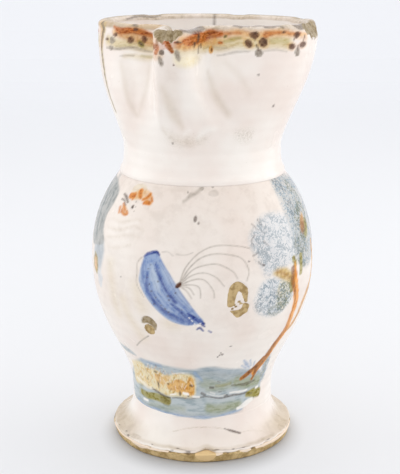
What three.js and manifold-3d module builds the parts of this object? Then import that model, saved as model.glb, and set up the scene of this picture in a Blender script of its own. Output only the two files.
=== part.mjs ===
// Maiolica jug: a wheel-thrown earthenware table jug, luted together from a foot, a belly, a neck and
// a strap handle, with a tin glaze coat over each of them and one glaze lining poured inside.
// Millimetres, +Z up. The origin is the middle of the flat base, the spout points along -Y and the
// handle along +Y.
import * as THREE from "three";
import { mergeVertices } from "three/addons/utils/BufferGeometryUtils.js";
import Module from "manifold-3d";

// Driving dimensions of the glazed outside
const rimHeight = 222; // base to the back of the rim
const baseRadius = 48;
const footEdgeRadius = 49.2;
const footEdgeHeight = 6;
const stemRadius = 38; // narrowest place, between foot and belly
const stemRise = 5; // its top, above the joint of foot and belly
const bellyRadius = 59;
const bellyHeight = 100;
const shoulderRadius = 43; // where the neck is luted to the belly
const shoulderHeight = 145;
const waistRadius = 40.9; // narrowest place of the neck
const waistRise = 15; // above the shoulder
const mouthRadius = 58.5; // the thrown mouth, before its spout is pressed
const flarePower = 1.3; // how late the neck opens out

// Fullness of the curves: lengths of the handles of the profile's Bezier curves
const stemFullness = 25;
const lowerBellyFullness = 39.5;
const upperBellyFullness = 16;
const shoulderFullness = 18;
const shoulderSlope = 0.85; // radius lost for each millimetre climbed
const footFlareIn = 6; // how far the foot's hollow flare runs in flat from its edge
const footFlareUp = 9; // how far it runs down straight from the stem

// Raised bead round the bottom of the neck
const beadProud = 0.7;
const beadHeight = 2; // its middle, above the shoulder
const beadSpread = 1.5;

// Pressed mouth: two thumb presses beside a pulled spout
const pressDepth = 30;
const pressAngle = 54; // degrees round from the spout, at the rim
const pressNarrowing = 0.6; // share of that angle left at the waist, so the presses taper downwards
const spoutPull = 28;
const spoutAngle = 15.5;
const spoutDip = 1.0; // the rim is lower at the spout than at the back
const spoutDipAngle = 30;
const mouthLean = 1; // the hand-pressed mouth sits this far to one side of the axis

// Clay, glaze and the slip in the joints
const wall = 4.6;
const floorThickness = 7;
const glaze = 0.8;
const slip = 0.8;
const seatGap = 0.2; // between one layer and the next
const footJointHeight = 21;
const lipRound = 1.3; // softened edges of the clay lip

// Strap handle, pulled from a lump and luted to the neck and the belly
const strapWidth = 27;
const strapThickness = 10;
const strapTaper = 0.82; // size of the lower end against the upper end
const handleTopDrop = 26; // middle of the upper joint, below the rim
const handleTopRise = 18; // how far the strap aims up as it leaves the neck
const handleLowLift = 12; // middle of the lower joint, above the widest place of the belly
const handleLowRise = 16; // how far the strap aims up as it leaves the belly
const handleReach = 52; // how far both ends of the strap aim outwards

// Facets
const turns = 40;
const spoutCrowding = 0.45; // facets are narrower round the spout, wider at the back
const bellyLevels = 10;
const neckLevels = 9;
const footLevels = 5;
const strapSteps = 18;
const strapSides = 12;

// Worked out from the above
const stemHeight = footJointHeight + stemRise;
const waistHeight = shoulderHeight + waistRise;
const coat = glaze + seatGap; // glaze face down to clay face
const lining = coat + wall; // glaze face down to the inside of the clay wall
const cavity = lining + seatGap + glaze; // glaze face down to the face of the lining
const bellyBottom = footJointHeight + slip;
const neckBottom = shoulderHeight + slip;
const cavityFloor = bellyBottom + floorThickness;
const handleTopHeight = rimHeight - handleTopDrop;
const handleLowHeight = bellyHeight + handleLowLift;

const wasm = await Module();
wasm.setup();

const clayLook = new THREE.MeshStandardMaterial({ color: 0xb89a6c, roughness: 0.9, metalness: 0 });
const slipLook = new THREE.MeshStandardMaterial({ color: 0xa88a60, roughness: 0.95, metalness: 0 });
const glazeLook = new THREE.MeshStandardMaterial({ color: 0xefe4da, roughness: 0.2, metalness: 0 });

// Profile of the thrown jug
const lowerBelly = new THREE.CubicBezierCurve(
  new THREE.Vector2(stemRadius, stemHeight),
  new THREE.Vector2(stemRadius, stemHeight + stemFullness),
  new THREE.Vector2(bellyRadius, bellyHeight - lowerBellyFullness),
  new THREE.Vector2(bellyRadius, bellyHeight),
);
const shoulderAim = new THREE.Vector2(-shoulderSlope, 1).setLength(shoulderFullness);
const upperBelly = new THREE.CubicBezierCurve(
  new THREE.Vector2(bellyRadius, bellyHeight),
  new THREE.Vector2(bellyRadius, bellyHeight + upperBellyFullness),
  new THREE.Vector2(shoulderRadius, shoulderHeight).sub(shoulderAim),
  new THREE.Vector2(shoulderRadius, shoulderHeight),
);
const footFlare = new THREE.CubicBezierCurve(
  new THREE.Vector2(footEdgeRadius, footEdgeHeight),
  new THREE.Vector2(footEdgeRadius - footFlareIn, footEdgeHeight),
  new THREE.Vector2(stemRadius, footJointHeight - footFlareUp),
  new THREE.Vector2(stemRadius, footJointHeight),
);

// Radius of a curve that only climbs, at one height, by halving the interval
function radiusOn(curve, height) {
  let low = 0;
  let high = 1;
  for (let i = 0; i < 40; i++) {
    const middle = (low + high) / 2;
    if (curve.getPoint(middle).y < height) low = middle;
    else high = middle;
  }
  return curve.getPoint((low + high) / 2).x;
}

// Outside radius of the round thrown jug, from the stem up
function thrownRadius(z) {
  if (z <= stemHeight) return stemRadius;
  if (z <= bellyHeight) return radiusOn(lowerBelly, z);
  if (z <= shoulderHeight) return radiusOn(upperBelly, z);
  if (z <= waistHeight) {
    const left = (waistHeight - z) / (waistHeight - shoulderHeight);
    return waistRadius + (shoulderRadius - waistRadius) * left ** 3;
  }
  const climbed = Math.min(1, (z - waistHeight) / (rimHeight - waistHeight));
  return waistRadius + (mouthRadius - waistRadius) * Math.sin((Math.PI / 2) * climbed) ** flarePower;
}

// A layer's radius: so deep below the glaze face, square to the slope of the wall there
function layerRadius(z, depth) {
  const reach = wall / 2;
  const slope = (thrownRadius(z + reach) - thrownRadius(z - reach)) / (2 * reach);
  return thrownRadius(z) - depth * Math.hypot(1, slope);
}

// How far the bead stands proud at one height
function bead(z) {
  return beadProud * Math.exp(-(((z - shoulderHeight - beadHeight) / beadSpread) ** 2));
}

const heights = (low, high, count) =>
  Array.from({ length: count + 1 }, (_, i) => low + ((high - low) * i) / count);

// Heights up the neck: close together over the bead, then even steps to the rim
function neckHeights(low, high) {
  const beadMiddle = shoulderHeight + beadHeight;
  const overBead = [low, beadMiddle, beadMiddle + beadSpread];
  return [...overBead, ...heights(beadMiddle + 2 * beadSpread, high, neckLevels)];
}

const layer = (levels, depth) => levels.map((z) => new THREE.Vector2(layerRadius(z, depth), z));
const beadedLayer = (levels, depth) =>
  levels.map((z) => new THREE.Vector2(layerRadius(z, depth) + bead(z), z));
const onAxis = (z) => new THREE.Vector2(0, z);

// Pressed mouth, seen from above: how far a point of the thrown wall moves out, for its angle round
// from the spout and its share of the press
function pressAt(angle, share) {
  const reach = THREE.MathUtils.degToRad(pressAngle) * THREE.MathUtils.lerp(pressNarrowing, 1, share);
  const press = Math.exp(-((angle / reach) ** 2));
  const pull = Math.exp(-((Math.abs(angle) / THREE.MathUtils.degToRad(spoutAngle)) ** 3));
  return spoutPull * pull - pressDepth * press;
}

// How much of the press is felt at one height: none at the waist, all at the rim
const pressShare = (z) => THREE.MathUtils.smoothstep(z, waistHeight, rimHeight);

// Outline of the pressed glaze face at one height, as a point in the plane
function outline(angle, z) {
  const share = pressShare(z);
  const radius = thrownRadius(z) + share * pressAt(angle, share);
  return new THREE.Vector2(radius * Math.sin(angle), -radius * Math.cos(angle));
}

// Moves every vertex of a thrown piece to where the thumbs leave it: as deep behind the pressed face
// as it was behind the thrown one
function pressMouth(geometry) {
  const place = geometry.attributes.position;
  const aside = 0.01;
  for (let i = 0; i < place.count; i++) {
    const [x, y, z] = [place.getX(i), place.getY(i), place.getZ(i)];
    const share = pressShare(z);
    const radius = Math.hypot(x, y);
    if (share === 0 || radius < aside) continue;
    const angle = Math.atan2(x, -y);
    const depth = thrownRadius(z) - radius;
    const along = outline(angle + aside, z).sub(outline(angle - aside, z)).normalize();
    const face = outline(angle, z);
    const dip = spoutDip * share * Math.exp(-((angle / THREE.MathUtils.degToRad(spoutDipAngle)) ** 2));
    place.setXYZ(i, face.x - depth * along.y + mouthLean * share, face.y + depth * along.x, z - dip);
  }
  return geometry;
}

// A profile of radius and height turned about the jug's axis, starting behind, with its facets crowded
// at the spout. Faces are split along the same diagonal on climbing and falling runs, so that two layers
// never cross.
function turned(profile) {
  const geometry = new THREE.LatheGeometry(profile, turns);
  const place = geometry.attributes.position;
  const faces = [];
  for (let turn = 0; turn < turns; turn++) {
    for (let i = 0; i < profile.length - 1; i++) {
      const near = turn * profile.length + i;
      const far = near + profile.length;
      if (profile[i + 1].y > profile[i].y) faces.push(near, far, near + 1, far + 1, near + 1, far);
      else faces.push(near, far, far + 1, near, far + 1, near + 1);
    }
  }
  geometry.setIndex(faces);
  for (let i = 0; i < place.count; i++) {
    const [radius, z] = [Math.hypot(place.getX(i), place.getZ(i)), place.getY(i)];
    const even = Math.atan2(place.getX(i), place.getZ(i));
    const angle = even - spoutCrowding * Math.sin(even);
    place.setXYZ(i, radius * Math.sin(angle), -radius * Math.cos(angle), z);
  }
  return geometry;
}

// Closed solid of a geometry for cutting, and the geometry of a solid
function solidOf(geometry) {
  const bare = geometry.clone();
  bare.deleteAttribute("normal");
  bare.deleteAttribute("uv");
  const merged = mergeVertices(bare, 1e-4);
  const faces = [];
  const index = merged.index.array;
  for (let i = 0; i < index.length; i += 3) {
    const [a, b, c] = [index[i], index[i + 1], index[i + 2]];
    if (a !== b && b !== c && c !== a) faces.push(a, b, c);
  }
  const mesh = new wasm.Mesh({
    numProp: 3,
    vertProperties: merged.attributes.position.array,
    triVerts: new Uint32Array(faces),
  });
  return new wasm.Manifold(mesh);
}

function geometryOf(solid) {
  const mesh = solid.getMesh();
  const geometry = new THREE.BufferGeometry();
  geometry.setAttribute("position", new THREE.BufferAttribute(mesh.vertProperties, 3));
  geometry.setIndex(new THREE.BufferAttribute(mesh.triVerts, 1));
  geometry.computeVertexNormals();
  return geometry;
}

// Points moved square to their own line, towards the jug's axis on a run that climbs
function setIn(points, depth) {
  return points.map((point, i) => {
    const before = points[Math.max(0, i - 1)];
    const after = points[Math.min(points.length - 1, i + 1)];
    const run = after.clone().sub(before).normalize();
    return new THREE.Vector2(point.x - depth * run.y, point.y + depth * run.x);
  });
}

// A layer of the foot's flare, its last point kept level with the joint
function flareLayer(points, depth) {
  const moved = setIn(points, depth);
  moved[moved.length - 1].y = footJointHeight;
  return moved;
}

// Foot: a flat turned disc under a hollow flare that climbs to the stem
function footClay() {
  const face = footFlare.getPoints(footLevels);
  return turned([
    onAxis(0),
    new THREE.Vector2(baseRadius, 0),
    new THREE.Vector2(footEdgeRadius, footEdgeHeight - coat),
    ...flareLayer(face, coat).slice(1),
    onAxis(footJointHeight),
  ]);
}

function footGlaze() {
  const face = footFlare.getPoints(footLevels);
  const under = flareLayer(face, glaze).reverse();
  return turned([...under, ...face, under[0]]);
}

// Belly: a thick floor and a round wall, open at the shoulder
function bellyClay() {
  const outside = heights(bellyBottom, shoulderHeight, bellyLevels);
  const inside = heights(cavityFloor, shoulderHeight, bellyLevels).reverse();
  const wallFaces = [...layer(outside, coat), ...layer(inside, lining)];
  return turned([onAxis(bellyBottom), ...wallFaces, onAxis(cavityFloor)]);
}

function bellyGlaze() {
  const levels = [footJointHeight + seatGap, ...heights(bellyBottom, shoulderHeight, bellyLevels)];
  const under = layer(levels, glaze).reverse();
  return turned([...under, ...layer(levels, 0), under[0]]);
}

// Neck: a flaring tube with a bead at its foot and a softened lip, pressed to a spout
function neckClay() {
  const outside = beadedLayer(neckHeights(neckBottom, rimHeight - lipRound), coat);
  const inside = layer(neckHeights(neckBottom, rimHeight - lipRound), lining).reverse();
  const lipOutside = new THREE.Vector2(layerRadius(rimHeight, coat + lipRound), rimHeight);
  const lipInside = new THREE.Vector2(layerRadius(rimHeight, lining - lipRound), rimHeight);
  return pressMouth(turned([...outside, lipOutside, lipInside, ...inside, outside[0]]));
}

function neckGlaze() {
  const levels = [shoulderHeight + seatGap, ...neckHeights(neckBottom, rimHeight - lipRound)];
  const under = beadedLayer(levels, glaze).reverse();
  return pressMouth(turned([...under, ...beadedLayer(levels, 0), under[0]]));
}

// Lining: one coat of glaze poured in, from the lip down the neck and belly and over the floor
function insideGlaze() {
  const belly = heights(cavityFloor, shoulderHeight, bellyLevels);
  const neck = neckHeights(neckBottom, rimHeight - lipRound);
  const levels = [...belly, ...neck];
  const against = layer(levels, lining + seatGap);
  const face = layer(levels, cavity).reverse();
  const underside = cavityFloor + seatGap;
  const floorFace = underside + glaze;
  against[0].y = underside;
  face[face.length - 1].y = floorFace;
  return pressMouth(turned([onAxis(underside), ...against, ...face, onAxis(floorFace)]));
}

// Slip in the two thrown joints: a disc under the belly and a ring under the neck
function footSlip() {
  const radius = layerRadius(footJointHeight, coat);
  return turned([
    onAxis(footJointHeight),
    new THREE.Vector2(radius, footJointHeight),
    new THREE.Vector2(radius, bellyBottom),
    onAxis(bellyBottom),
  ]);
}

function neckSlip() {
  const levels = [shoulderHeight, neckBottom];
  const outside = layer(levels, coat);
  return turned([...outside, ...layer(levels, lining).reverse(), outside[0]]);
}

// The whole round outside of the jug as one solid, so deep below the glaze face, to cut the handle's
// ends to
function roundJug(depth) {
  const levels = [
    ...heights(bellyBottom, shoulderHeight, bellyLevels),
    ...neckHeights(neckBottom, rimHeight - lipRound),
  ];
  const profile = [onAxis(levels[0]), ...layer(levels, depth), onAxis(levels[levels.length - 1])];
  return solidOf(pressMouth(turned(profile)));
}

// Line of the strap, from inside the neck's wall over to inside the belly's wall
function strapLine() {
  const top = layerRadius(handleTopHeight, coat + wall / 2);
  const low = layerRadius(handleLowHeight, coat + wall / 2);
  return new THREE.CubicBezierCurve3(
    new THREE.Vector3(0, top, handleTopHeight),
    new THREE.Vector3(0, top + handleReach, handleTopHeight + handleTopRise),
    new THREE.Vector3(0, low + handleReach, handleLowHeight + handleLowRise),
    new THREE.Vector3(0, low, handleLowHeight),
  );
}

// Strap of an oval section, grown by so much all round, carried along its line
function strap(grown) {
  const line = strapLine();
  const points = [];
  const faces = [];
  for (let step = 0; step <= strapSteps; step++) {
    const t = step / strapSteps;
    const middle = line.getPoint(t);
    const run = line.getTangent(t);
    const outward = new THREE.Vector3(0, -run.z, run.y);
    const size = 1 + (strapTaper - 1) * t;
    for (let side = 0; side < strapSides; side++) {
      const round = (2 * Math.PI * side) / strapSides;
      const across = Math.cos(round) * ((strapWidth * size) / 2 + grown);
      const through = Math.sin(round) * ((strapThickness * size) / 2 + grown);
      const point = middle.clone().addScaledVector(outward, through);
      points.push(point.x + across, point.y, point.z);
    }
  }
  const at = (step, side) => step * strapSides + (side % strapSides);
  for (let step = 0; step < strapSteps; step++) {
    for (let side = 0; side < strapSides; side++) {
      const corners = [at(step, side), at(step + 1, side), at(step + 1, side + 1), at(step, side + 1)];
      faces.push(corners[0], corners[1], corners[2], corners[0], corners[2], corners[3]);
    }
  }
  for (let side = 1; side < strapSides - 1; side++) {
    faces.push(at(0, 0), at(0, side), at(0, side + 1));
    faces.push(at(strapSteps, 0), at(strapSteps, side + 1), at(strapSteps, side));
  }
  const geometry = new THREE.BufferGeometry();
  geometry.setAttribute("position", new THREE.Float32BufferAttribute(points, 3));
  geometry.setIndex(faces);
  return solidOf(geometry);
}

// The handle's ends stop at the slip, and the slip fills the space between the clay and the strap
const claySeat = coat - seatGap;
const slipSeat = claySeat - slip;
const strapEnd = slipSeat - seatGap;

const handleClay = () => strap(0).subtract(roundJug(strapEnd));
const handleGlaze = () => strap(coat).subtract(strap(seatGap)).subtract(roundJug(-seatGap));
const slipPads = () => strap(0).intersect(roundJug(slipSeat)).subtract(roundJug(claySeat)).decompose();
const higher = (a, b) => b.boundingBox().max[2] - a.boundingBox().max[2];
const [upperPad, lowerPad] = slipPads().sort(higher);

// The glaze leaves the two joints of the handle bare
const openedForStrap = (geometry) => geometryOf(solidOf(geometry).subtract(strap(seatGap)));

const jug = new THREE.Group();
jug.name = "maiolica_jug";
function add(name, geometry, look) {
  const mesh = new THREE.Mesh(geometry, look);
  mesh.name = name;
  jug.add(mesh);
}

add("foot", footClay(), clayLook);
add("foot_slip", footSlip(), slipLook);
add("belly", bellyClay(), clayLook);
add("neck_slip", neckSlip(), slipLook);
add("neck", neckClay(), clayLook);
add("handle", geometryOf(handleClay()), clayLook);
add("handle_upper_slip", geometryOf(upperPad), slipLook);
add("handle_lower_slip", geometryOf(lowerPad), slipLook);
add("foot_glaze", footGlaze(), glazeLook);
add("belly_glaze", openedForStrap(bellyGlaze()), glazeLook);
add("neck_glaze", openedForStrap(neckGlaze()), glazeLook);
add("handle_glaze", geometryOf(handleGlaze()), glazeLook);
add("inside_glaze", insideGlaze(), glazeLook);

export default jug;
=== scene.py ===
# %% [markdown]
# This lesson dresses a small earthenware jug: thrown clay under a cream tin glaze, painted with a cock
# between two trees, and worn at its rim, belly and foot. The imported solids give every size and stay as
# the frame. Lengths are in millimetres until a mesh is made, because a potter thinks in millimetres.

import bpy
import numpy as np
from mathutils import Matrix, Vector


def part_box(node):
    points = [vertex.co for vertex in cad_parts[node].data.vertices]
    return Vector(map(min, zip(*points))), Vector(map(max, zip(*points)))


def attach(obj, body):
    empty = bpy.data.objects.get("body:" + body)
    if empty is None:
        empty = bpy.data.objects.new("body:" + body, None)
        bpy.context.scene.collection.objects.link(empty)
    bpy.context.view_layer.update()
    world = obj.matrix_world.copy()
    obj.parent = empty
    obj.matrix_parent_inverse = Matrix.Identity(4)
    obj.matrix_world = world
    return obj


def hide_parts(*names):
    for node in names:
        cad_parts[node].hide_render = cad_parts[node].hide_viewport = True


MM = 0.001
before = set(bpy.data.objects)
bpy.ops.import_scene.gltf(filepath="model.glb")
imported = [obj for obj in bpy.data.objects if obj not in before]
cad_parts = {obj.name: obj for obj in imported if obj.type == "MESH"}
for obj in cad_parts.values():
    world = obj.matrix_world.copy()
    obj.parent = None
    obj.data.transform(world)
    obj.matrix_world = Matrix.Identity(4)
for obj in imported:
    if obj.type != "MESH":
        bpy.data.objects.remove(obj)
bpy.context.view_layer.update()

# %% [markdown]
# The jug was thrown as round pieces, so a profile of radius against height says almost everything. Two
# Bezier curves make the belly, a cubic the shoulder, and a power of a sine the flare of the neck. A
# spin of a drawn curve would do as well, but formulas let the paint and the wear find the surface too.

# %% Heights and radii of the thrown jug
coat = 0.8
wall_and_coats = 6.6
edge_overhang = 1.2
base_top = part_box("foot")[1].z / MM
rim_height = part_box("neck")[1].z / MM
shoulder_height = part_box("belly")[1].z / MM
belly_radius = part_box("belly_glaze")[1].x / MM
foot_edge_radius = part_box("foot_glaze")[1].x / MM
foot_edge_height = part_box("foot_glaze")[0].z / MM + coat
base_radius = foot_edge_radius - edge_overhang
belly_height = 100.0
stem_radius = 38.0
stem_height = base_top + 5.0
shoulder_radius = 43.0
waist_radius = 40.9
waist_height = shoulder_height + 15.0
mouth_radius = 58.5
flare_power = 1.3
print(f"rim {rim_height:.1f}, shoulder {shoulder_height:.1f}, belly radius {belly_radius:.1f} mm")


def bezier(corners, t):
    """Cubic Bezier: the four corners weighted by the terms of ((1 - t) + t) cubed."""
    t = np.asarray(t, float)[..., None]
    a, b, c, d = np.asarray(corners, float)
    return a * (1 - t) ** 3 + 3 * b * t * (1 - t) ** 2 + 3 * c * t**2 * (1 - t) + d * t**3


STEM_FULLNESS = 25.0
LOWER_FULLNESS = 39.5
UPPER_FULLNESS = 16.0
SHOULDER_FULLNESS = 18.0
SHOULDER_SLOPE = 0.85
shoulder_aim = np.array([-SHOULDER_SLOPE, 1.0]) / np.hypot(SHOULDER_SLOPE, 1.0) * SHOULDER_FULLNESS
steps = np.linspace(0, 1, 400)
lower_belly = bezier(
    [
        (stem_radius, stem_height),
        (stem_radius, stem_height + STEM_FULLNESS),
        (belly_radius, belly_height - LOWER_FULLNESS),
        (belly_radius, belly_height),
    ],
    steps,
)
upper_belly = bezier(
    [
        (belly_radius, belly_height),
        (belly_radius, belly_height + UPPER_FULLNESS),
        np.array([shoulder_radius, shoulder_height]) - shoulder_aim,
        (shoulder_radius, shoulder_height),
    ],
    steps,
)
belly_curve = np.vstack([lower_belly, upper_belly[1:]])
print("belly curve:", len(belly_curve), "samples")


def thrown_radius(z):
    """Radius at a height: the belly curve, then the shoulder falling as a cube to the waist, then a power
    of a sine."""
    z = np.asarray(z, float)
    left = np.clip((waist_height - z) / (waist_height - shoulder_height), 0, 1)
    shoulder = waist_radius + (shoulder_radius - waist_radius) * left**3
    climbed = np.clip((z - waist_height) / (rim_height - waist_height), 0, 1)
    neck = waist_radius + (mouth_radius - waist_radius) * np.sin(np.pi / 2 * climbed) ** flare_power
    belly = np.interp(z, belly_curve[:, 1], belly_curve[:, 0])
    return np.where(z <= shoulder_height, belly, np.where(z <= waist_height, shoulder, neck))


# %% [markdown]
# While the neck was soft, two thumbs pressed it in beside a finger that pulled the spout. Seen from
# above that is one bell curve inwards and one sharper bell outwards, felt fully at the rim and not at
# all at the waist. Every layer of the wall follows the pressed face at its own depth.

# %% The pressed mouth
PRESS_DEPTH = 30.0
PRESS_ANGLE = np.radians(54)
PRESS_NARROWING = 0.6
SPOUT_PULL = 28.0
SPOUT_ANGLE = np.radians(15.5)
SPOUT_DIP = 1.0
SPOUT_DIP_ANGLE = np.radians(30)
MOUTH_LEAN = 1.0
BEAD_PROUD = 0.7
BEAD_SPREAD = 1.5
bead_height = shoulder_height + 2.0
# Steps over which the plan's direction and the wall's slope are measured, in radians and millimetres
PLAN_STEP = 0.01
SLOPE_STEP = 2.3


def smooth_step(x, low, high):
    """0 below low, 1 above high, and three t squared minus two t cubed between."""
    t = np.clip((x - low) / (high - low), 0, 1)
    return t * t * (3 - 2 * t)


def bell(x, half_width, power=2):
    """A bell curve: e to the minus of x over its half width, raised to a power."""
    return np.exp(-(np.abs(x / half_width) ** power))


def press_share(z):
    """How much of the press a height feels: a smooth step from the waist to the rim."""
    return smooth_step(z, waist_height, rim_height)


def outline(angle, z):
    """Plan of the pressed face: the thrown radius plus the pull's bell minus the press's bell,
    which tapers downwards."""
    share = press_share(z)
    reach = PRESS_ANGLE * (PRESS_NARROWING + (1 - PRESS_NARROWING) * share)
    pull = SPOUT_PULL * bell(angle, SPOUT_ANGLE, 3)
    press = PRESS_DEPTH * bell(angle, reach)
    radius = thrown_radius(z) + share * (pull - press)
    return np.stack([radius * np.sin(angle), -radius * np.cos(angle)])


def wall_points(angle, z, depth):
    """Points of a layer of the wall: the pressed face moved in by the depth, square to plan and slope."""
    angle, z, depth = np.broadcast_arrays(angle, z, depth)
    slope = (thrown_radius(z + SLOPE_STEP) - thrown_radius(z - SLOPE_STEP)) / (2 * SLOPE_STEP)
    bead = BEAD_PROUD * bell(z - bead_height, BEAD_SPREAD) * (z > shoulder_height)
    inward = depth * np.hypot(1, slope) - bead * np.clip(1 - depth, 0, 1)
    along = outline(angle + PLAN_STEP, z) - outline(angle - PLAN_STEP, z)
    along = along / np.hypot(*along)
    face = outline(angle, z)
    share = press_share(z)
    dip = SPOUT_DIP * share * bell(angle, SPOUT_DIP_ANGLE)
    x = face[0] - inward * along[1] + MOUTH_LEAN * share
    y = face[1] + inward * along[0]
    return np.stack([x, y, z - dip], axis=-1)


spout_tip = wall_points(0.0, rim_height, 0.0)
print("spout tip at", np.round(spout_tip, 1))

# %% [markdown]
# Each piece is a grid: rows along a profile, columns round the axis. Rows that climb outside and fall
# inside give faces that point out of the clay. The columns crowd together on the painted front, where
# the brush strokes need them, and spread out behind.

# %% From a grid to a mesh
FRONT = np.radians(18.5)
COLUMNS = 350
CROWDING = 0.56
even = np.linspace(-np.pi, np.pi, COLUMNS, endpoint=False)
round_front = even - CROWDING * np.sin(even)
angles = (round_front + FRONT + np.pi) % (2 * np.pi) - np.pi
front_degrees = np.degrees(round_front)[None, :]
off_front = np.abs(front_degrees)
HAND_WOBBLE = 0.22


def grid_mesh(name, points, loop=False, poles=(None, None)):
    """A mesh of a grid that closes round its columns, and round its rows where loop is set.
    A pole is a point on the axis that closes the first or the last row with a fan."""
    rows, columns = points.shape[:2]
    index = np.arange(rows * columns).reshape(rows, columns)
    if loop:
        index = np.vstack([index, index[:1]])
    low, high = index[:-1], index[1:]
    quads = np.stack([low, np.roll(low, -1, 1), np.roll(high, -1, 1), high], axis=-1).reshape(-1, 4)
    faces = quads.tolist()
    places = points.reshape(-1, 3)
    for pole, ring, turn in zip(poles, (index[0], index[-1]), (-1, 1)):
        if pole is None:
            continue
        tip = np.full(columns, len(places))
        places = np.vstack([places, pole])
        pair = [np.roll(ring, -1), ring] if turn < 0 else [ring, np.roll(ring, -1)]
        faces += np.stack([tip, *pair], axis=-1).tolist()
    mesh = bpy.data.meshes.new(name)
    mesh.from_pydata((places * MM).tolist(), [], faces)
    mesh.polygons.foreach_set("use_smooth", np.ones(len(mesh.polygons), bool))
    piece = bpy.data.objects.new(name, mesh)
    bpy.context.scene.collection.objects.link(piece)
    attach(piece, "root")
    print(name, "-", len(mesh.vertices), "points,", len(mesh.polygons), "faces")
    return piece


def hand_wobble(angle, z):
    """Unevenness of hand work: three sines round the wheel and up the wall, added."""
    return HAND_WOBBLE * (
        np.sin(2 * angle + z / 19 + 0.6) * 0.5
        + np.sin(3 * angle - z / 11 + 2.1) * 0.3
        + np.sin(z / 0.83 + 1.5 * np.sin(angle)) * 0.2
    )


# %% [markdown]
# The camera comes before the paint, because the painter's marks are read off the photograph. A pixel
# is a ray from the camera, and the nearest visible grid point to it in the picture is where the brush
# touched the glaze. The picture is 400 by 474 pixels and the lens was found from the jug's own ovals.

# %% The camera's place and its projection
PICTURE = np.array([400.0, 474.0])
FOCAL_PIXELS = 1080.0
CAMERA_DISTANCE = 557.0
CAMERA_HEIGHT = 258.4
CAMERA_PITCH = np.radians(15.1)
CAMERA_ASIDE = -1.24
SENSOR = 36.0
right = np.array([np.cos(FRONT), np.sin(FRONT), 0.0])
level = np.array([-np.sin(FRONT), np.cos(FRONT), 0.0])
forward = level * np.cos(CAMERA_PITCH) - np.array([0, 0, np.sin(CAMERA_PITCH)])
upward = level * np.sin(CAMERA_PITCH) + np.array([0, 0, np.cos(CAMERA_PITCH)])
eye = -CAMERA_DISTANCE * level + CAMERA_ASIDE * right + np.array([0, 0, CAMERA_HEIGHT])


def picture_place(points):
    """Pixel of a point: its shift along right and up over its distance ahead, times the focal length."""
    away = points - eye
    ahead = away @ forward
    across = PICTURE[0] / 2 + FOCAL_PIXELS * (away @ right) / ahead
    down = PICTURE[1] / 2 - FOCAL_PIXELS * (away @ upward) / ahead
    return np.stack([across, down], axis=-1)


def face_normals(points):
    """Unit normals of a grid: the cross of its steps round the columns and along the rows."""
    around = np.roll(points, -1, 1) - np.roll(points, 1, 1)
    along = np.gradient(points, axis=0)
    normal = np.cross(around, along)
    return normal / np.maximum(np.linalg.norm(normal, axis=-1, keepdims=True), 1e-9)


camera_data = bpy.data.cameras.new("camera")
camera_data.lens = FOCAL_PIXELS / PICTURE.max() * SENSOR
camera_data.sensor_width = SENSOR
camera = bpy.data.objects.new("camera", camera_data)
camera.location = Vector(eye * MM)
camera.rotation_euler = (np.pi / 2 - CAMERA_PITCH, 0, FRONT)
bpy.context.scene.collection.objects.link(camera)
bpy.context.scene.camera = camera
print(f"lens {camera_data.lens:.1f} mm, spout tip in the picture at", np.round(picture_place(spout_tip), 1))

# %% [markdown]
# The painter held a loaded brush and worked fast: dabs, strokes that swell and thin, and flat patches
# of wash. A canvas keeps, for each point of a glazed grid, how much of each pigment lies there. Each
# mark is measured in millimetres on the unrolled surface, so it keeps its width round the curve. An
# image texture could hold the same, but amounts at the grid's own points need no image.

# %% A canvas on the glaze
UNROLL_RADIUS = 54.0
BRUSH_SHAKE = 0.3


def through(points, count=8):
    """A smooth line through a few points: Catmull-Rom, where each piece aims along its neighbours' chord."""
    points = np.asarray(points, float)
    if len(points) < 3:
        return points
    padded = np.vstack([2 * points[0] - points[1], points, 2 * points[-1] - points[-2]])
    before, start, end, after = padded[:-3], padded[1:-2], padded[2:-1], padded[3:]
    t = np.linspace(0, 1, count, endpoint=False)[None, :, None]
    before, start, end, after = (p[:, None, :] for p in (before, start, end, after))
    line = (
        start
        + (end - before) / 2 * t
        + (before - 2.5 * start + 2 * end - after / 2) * t**2
        + (1.5 * (start - end) + (after - before) / 2) * t**3
    )
    return np.vstack([line.reshape(-1, points.shape[1]), points[-1:]])


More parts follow.
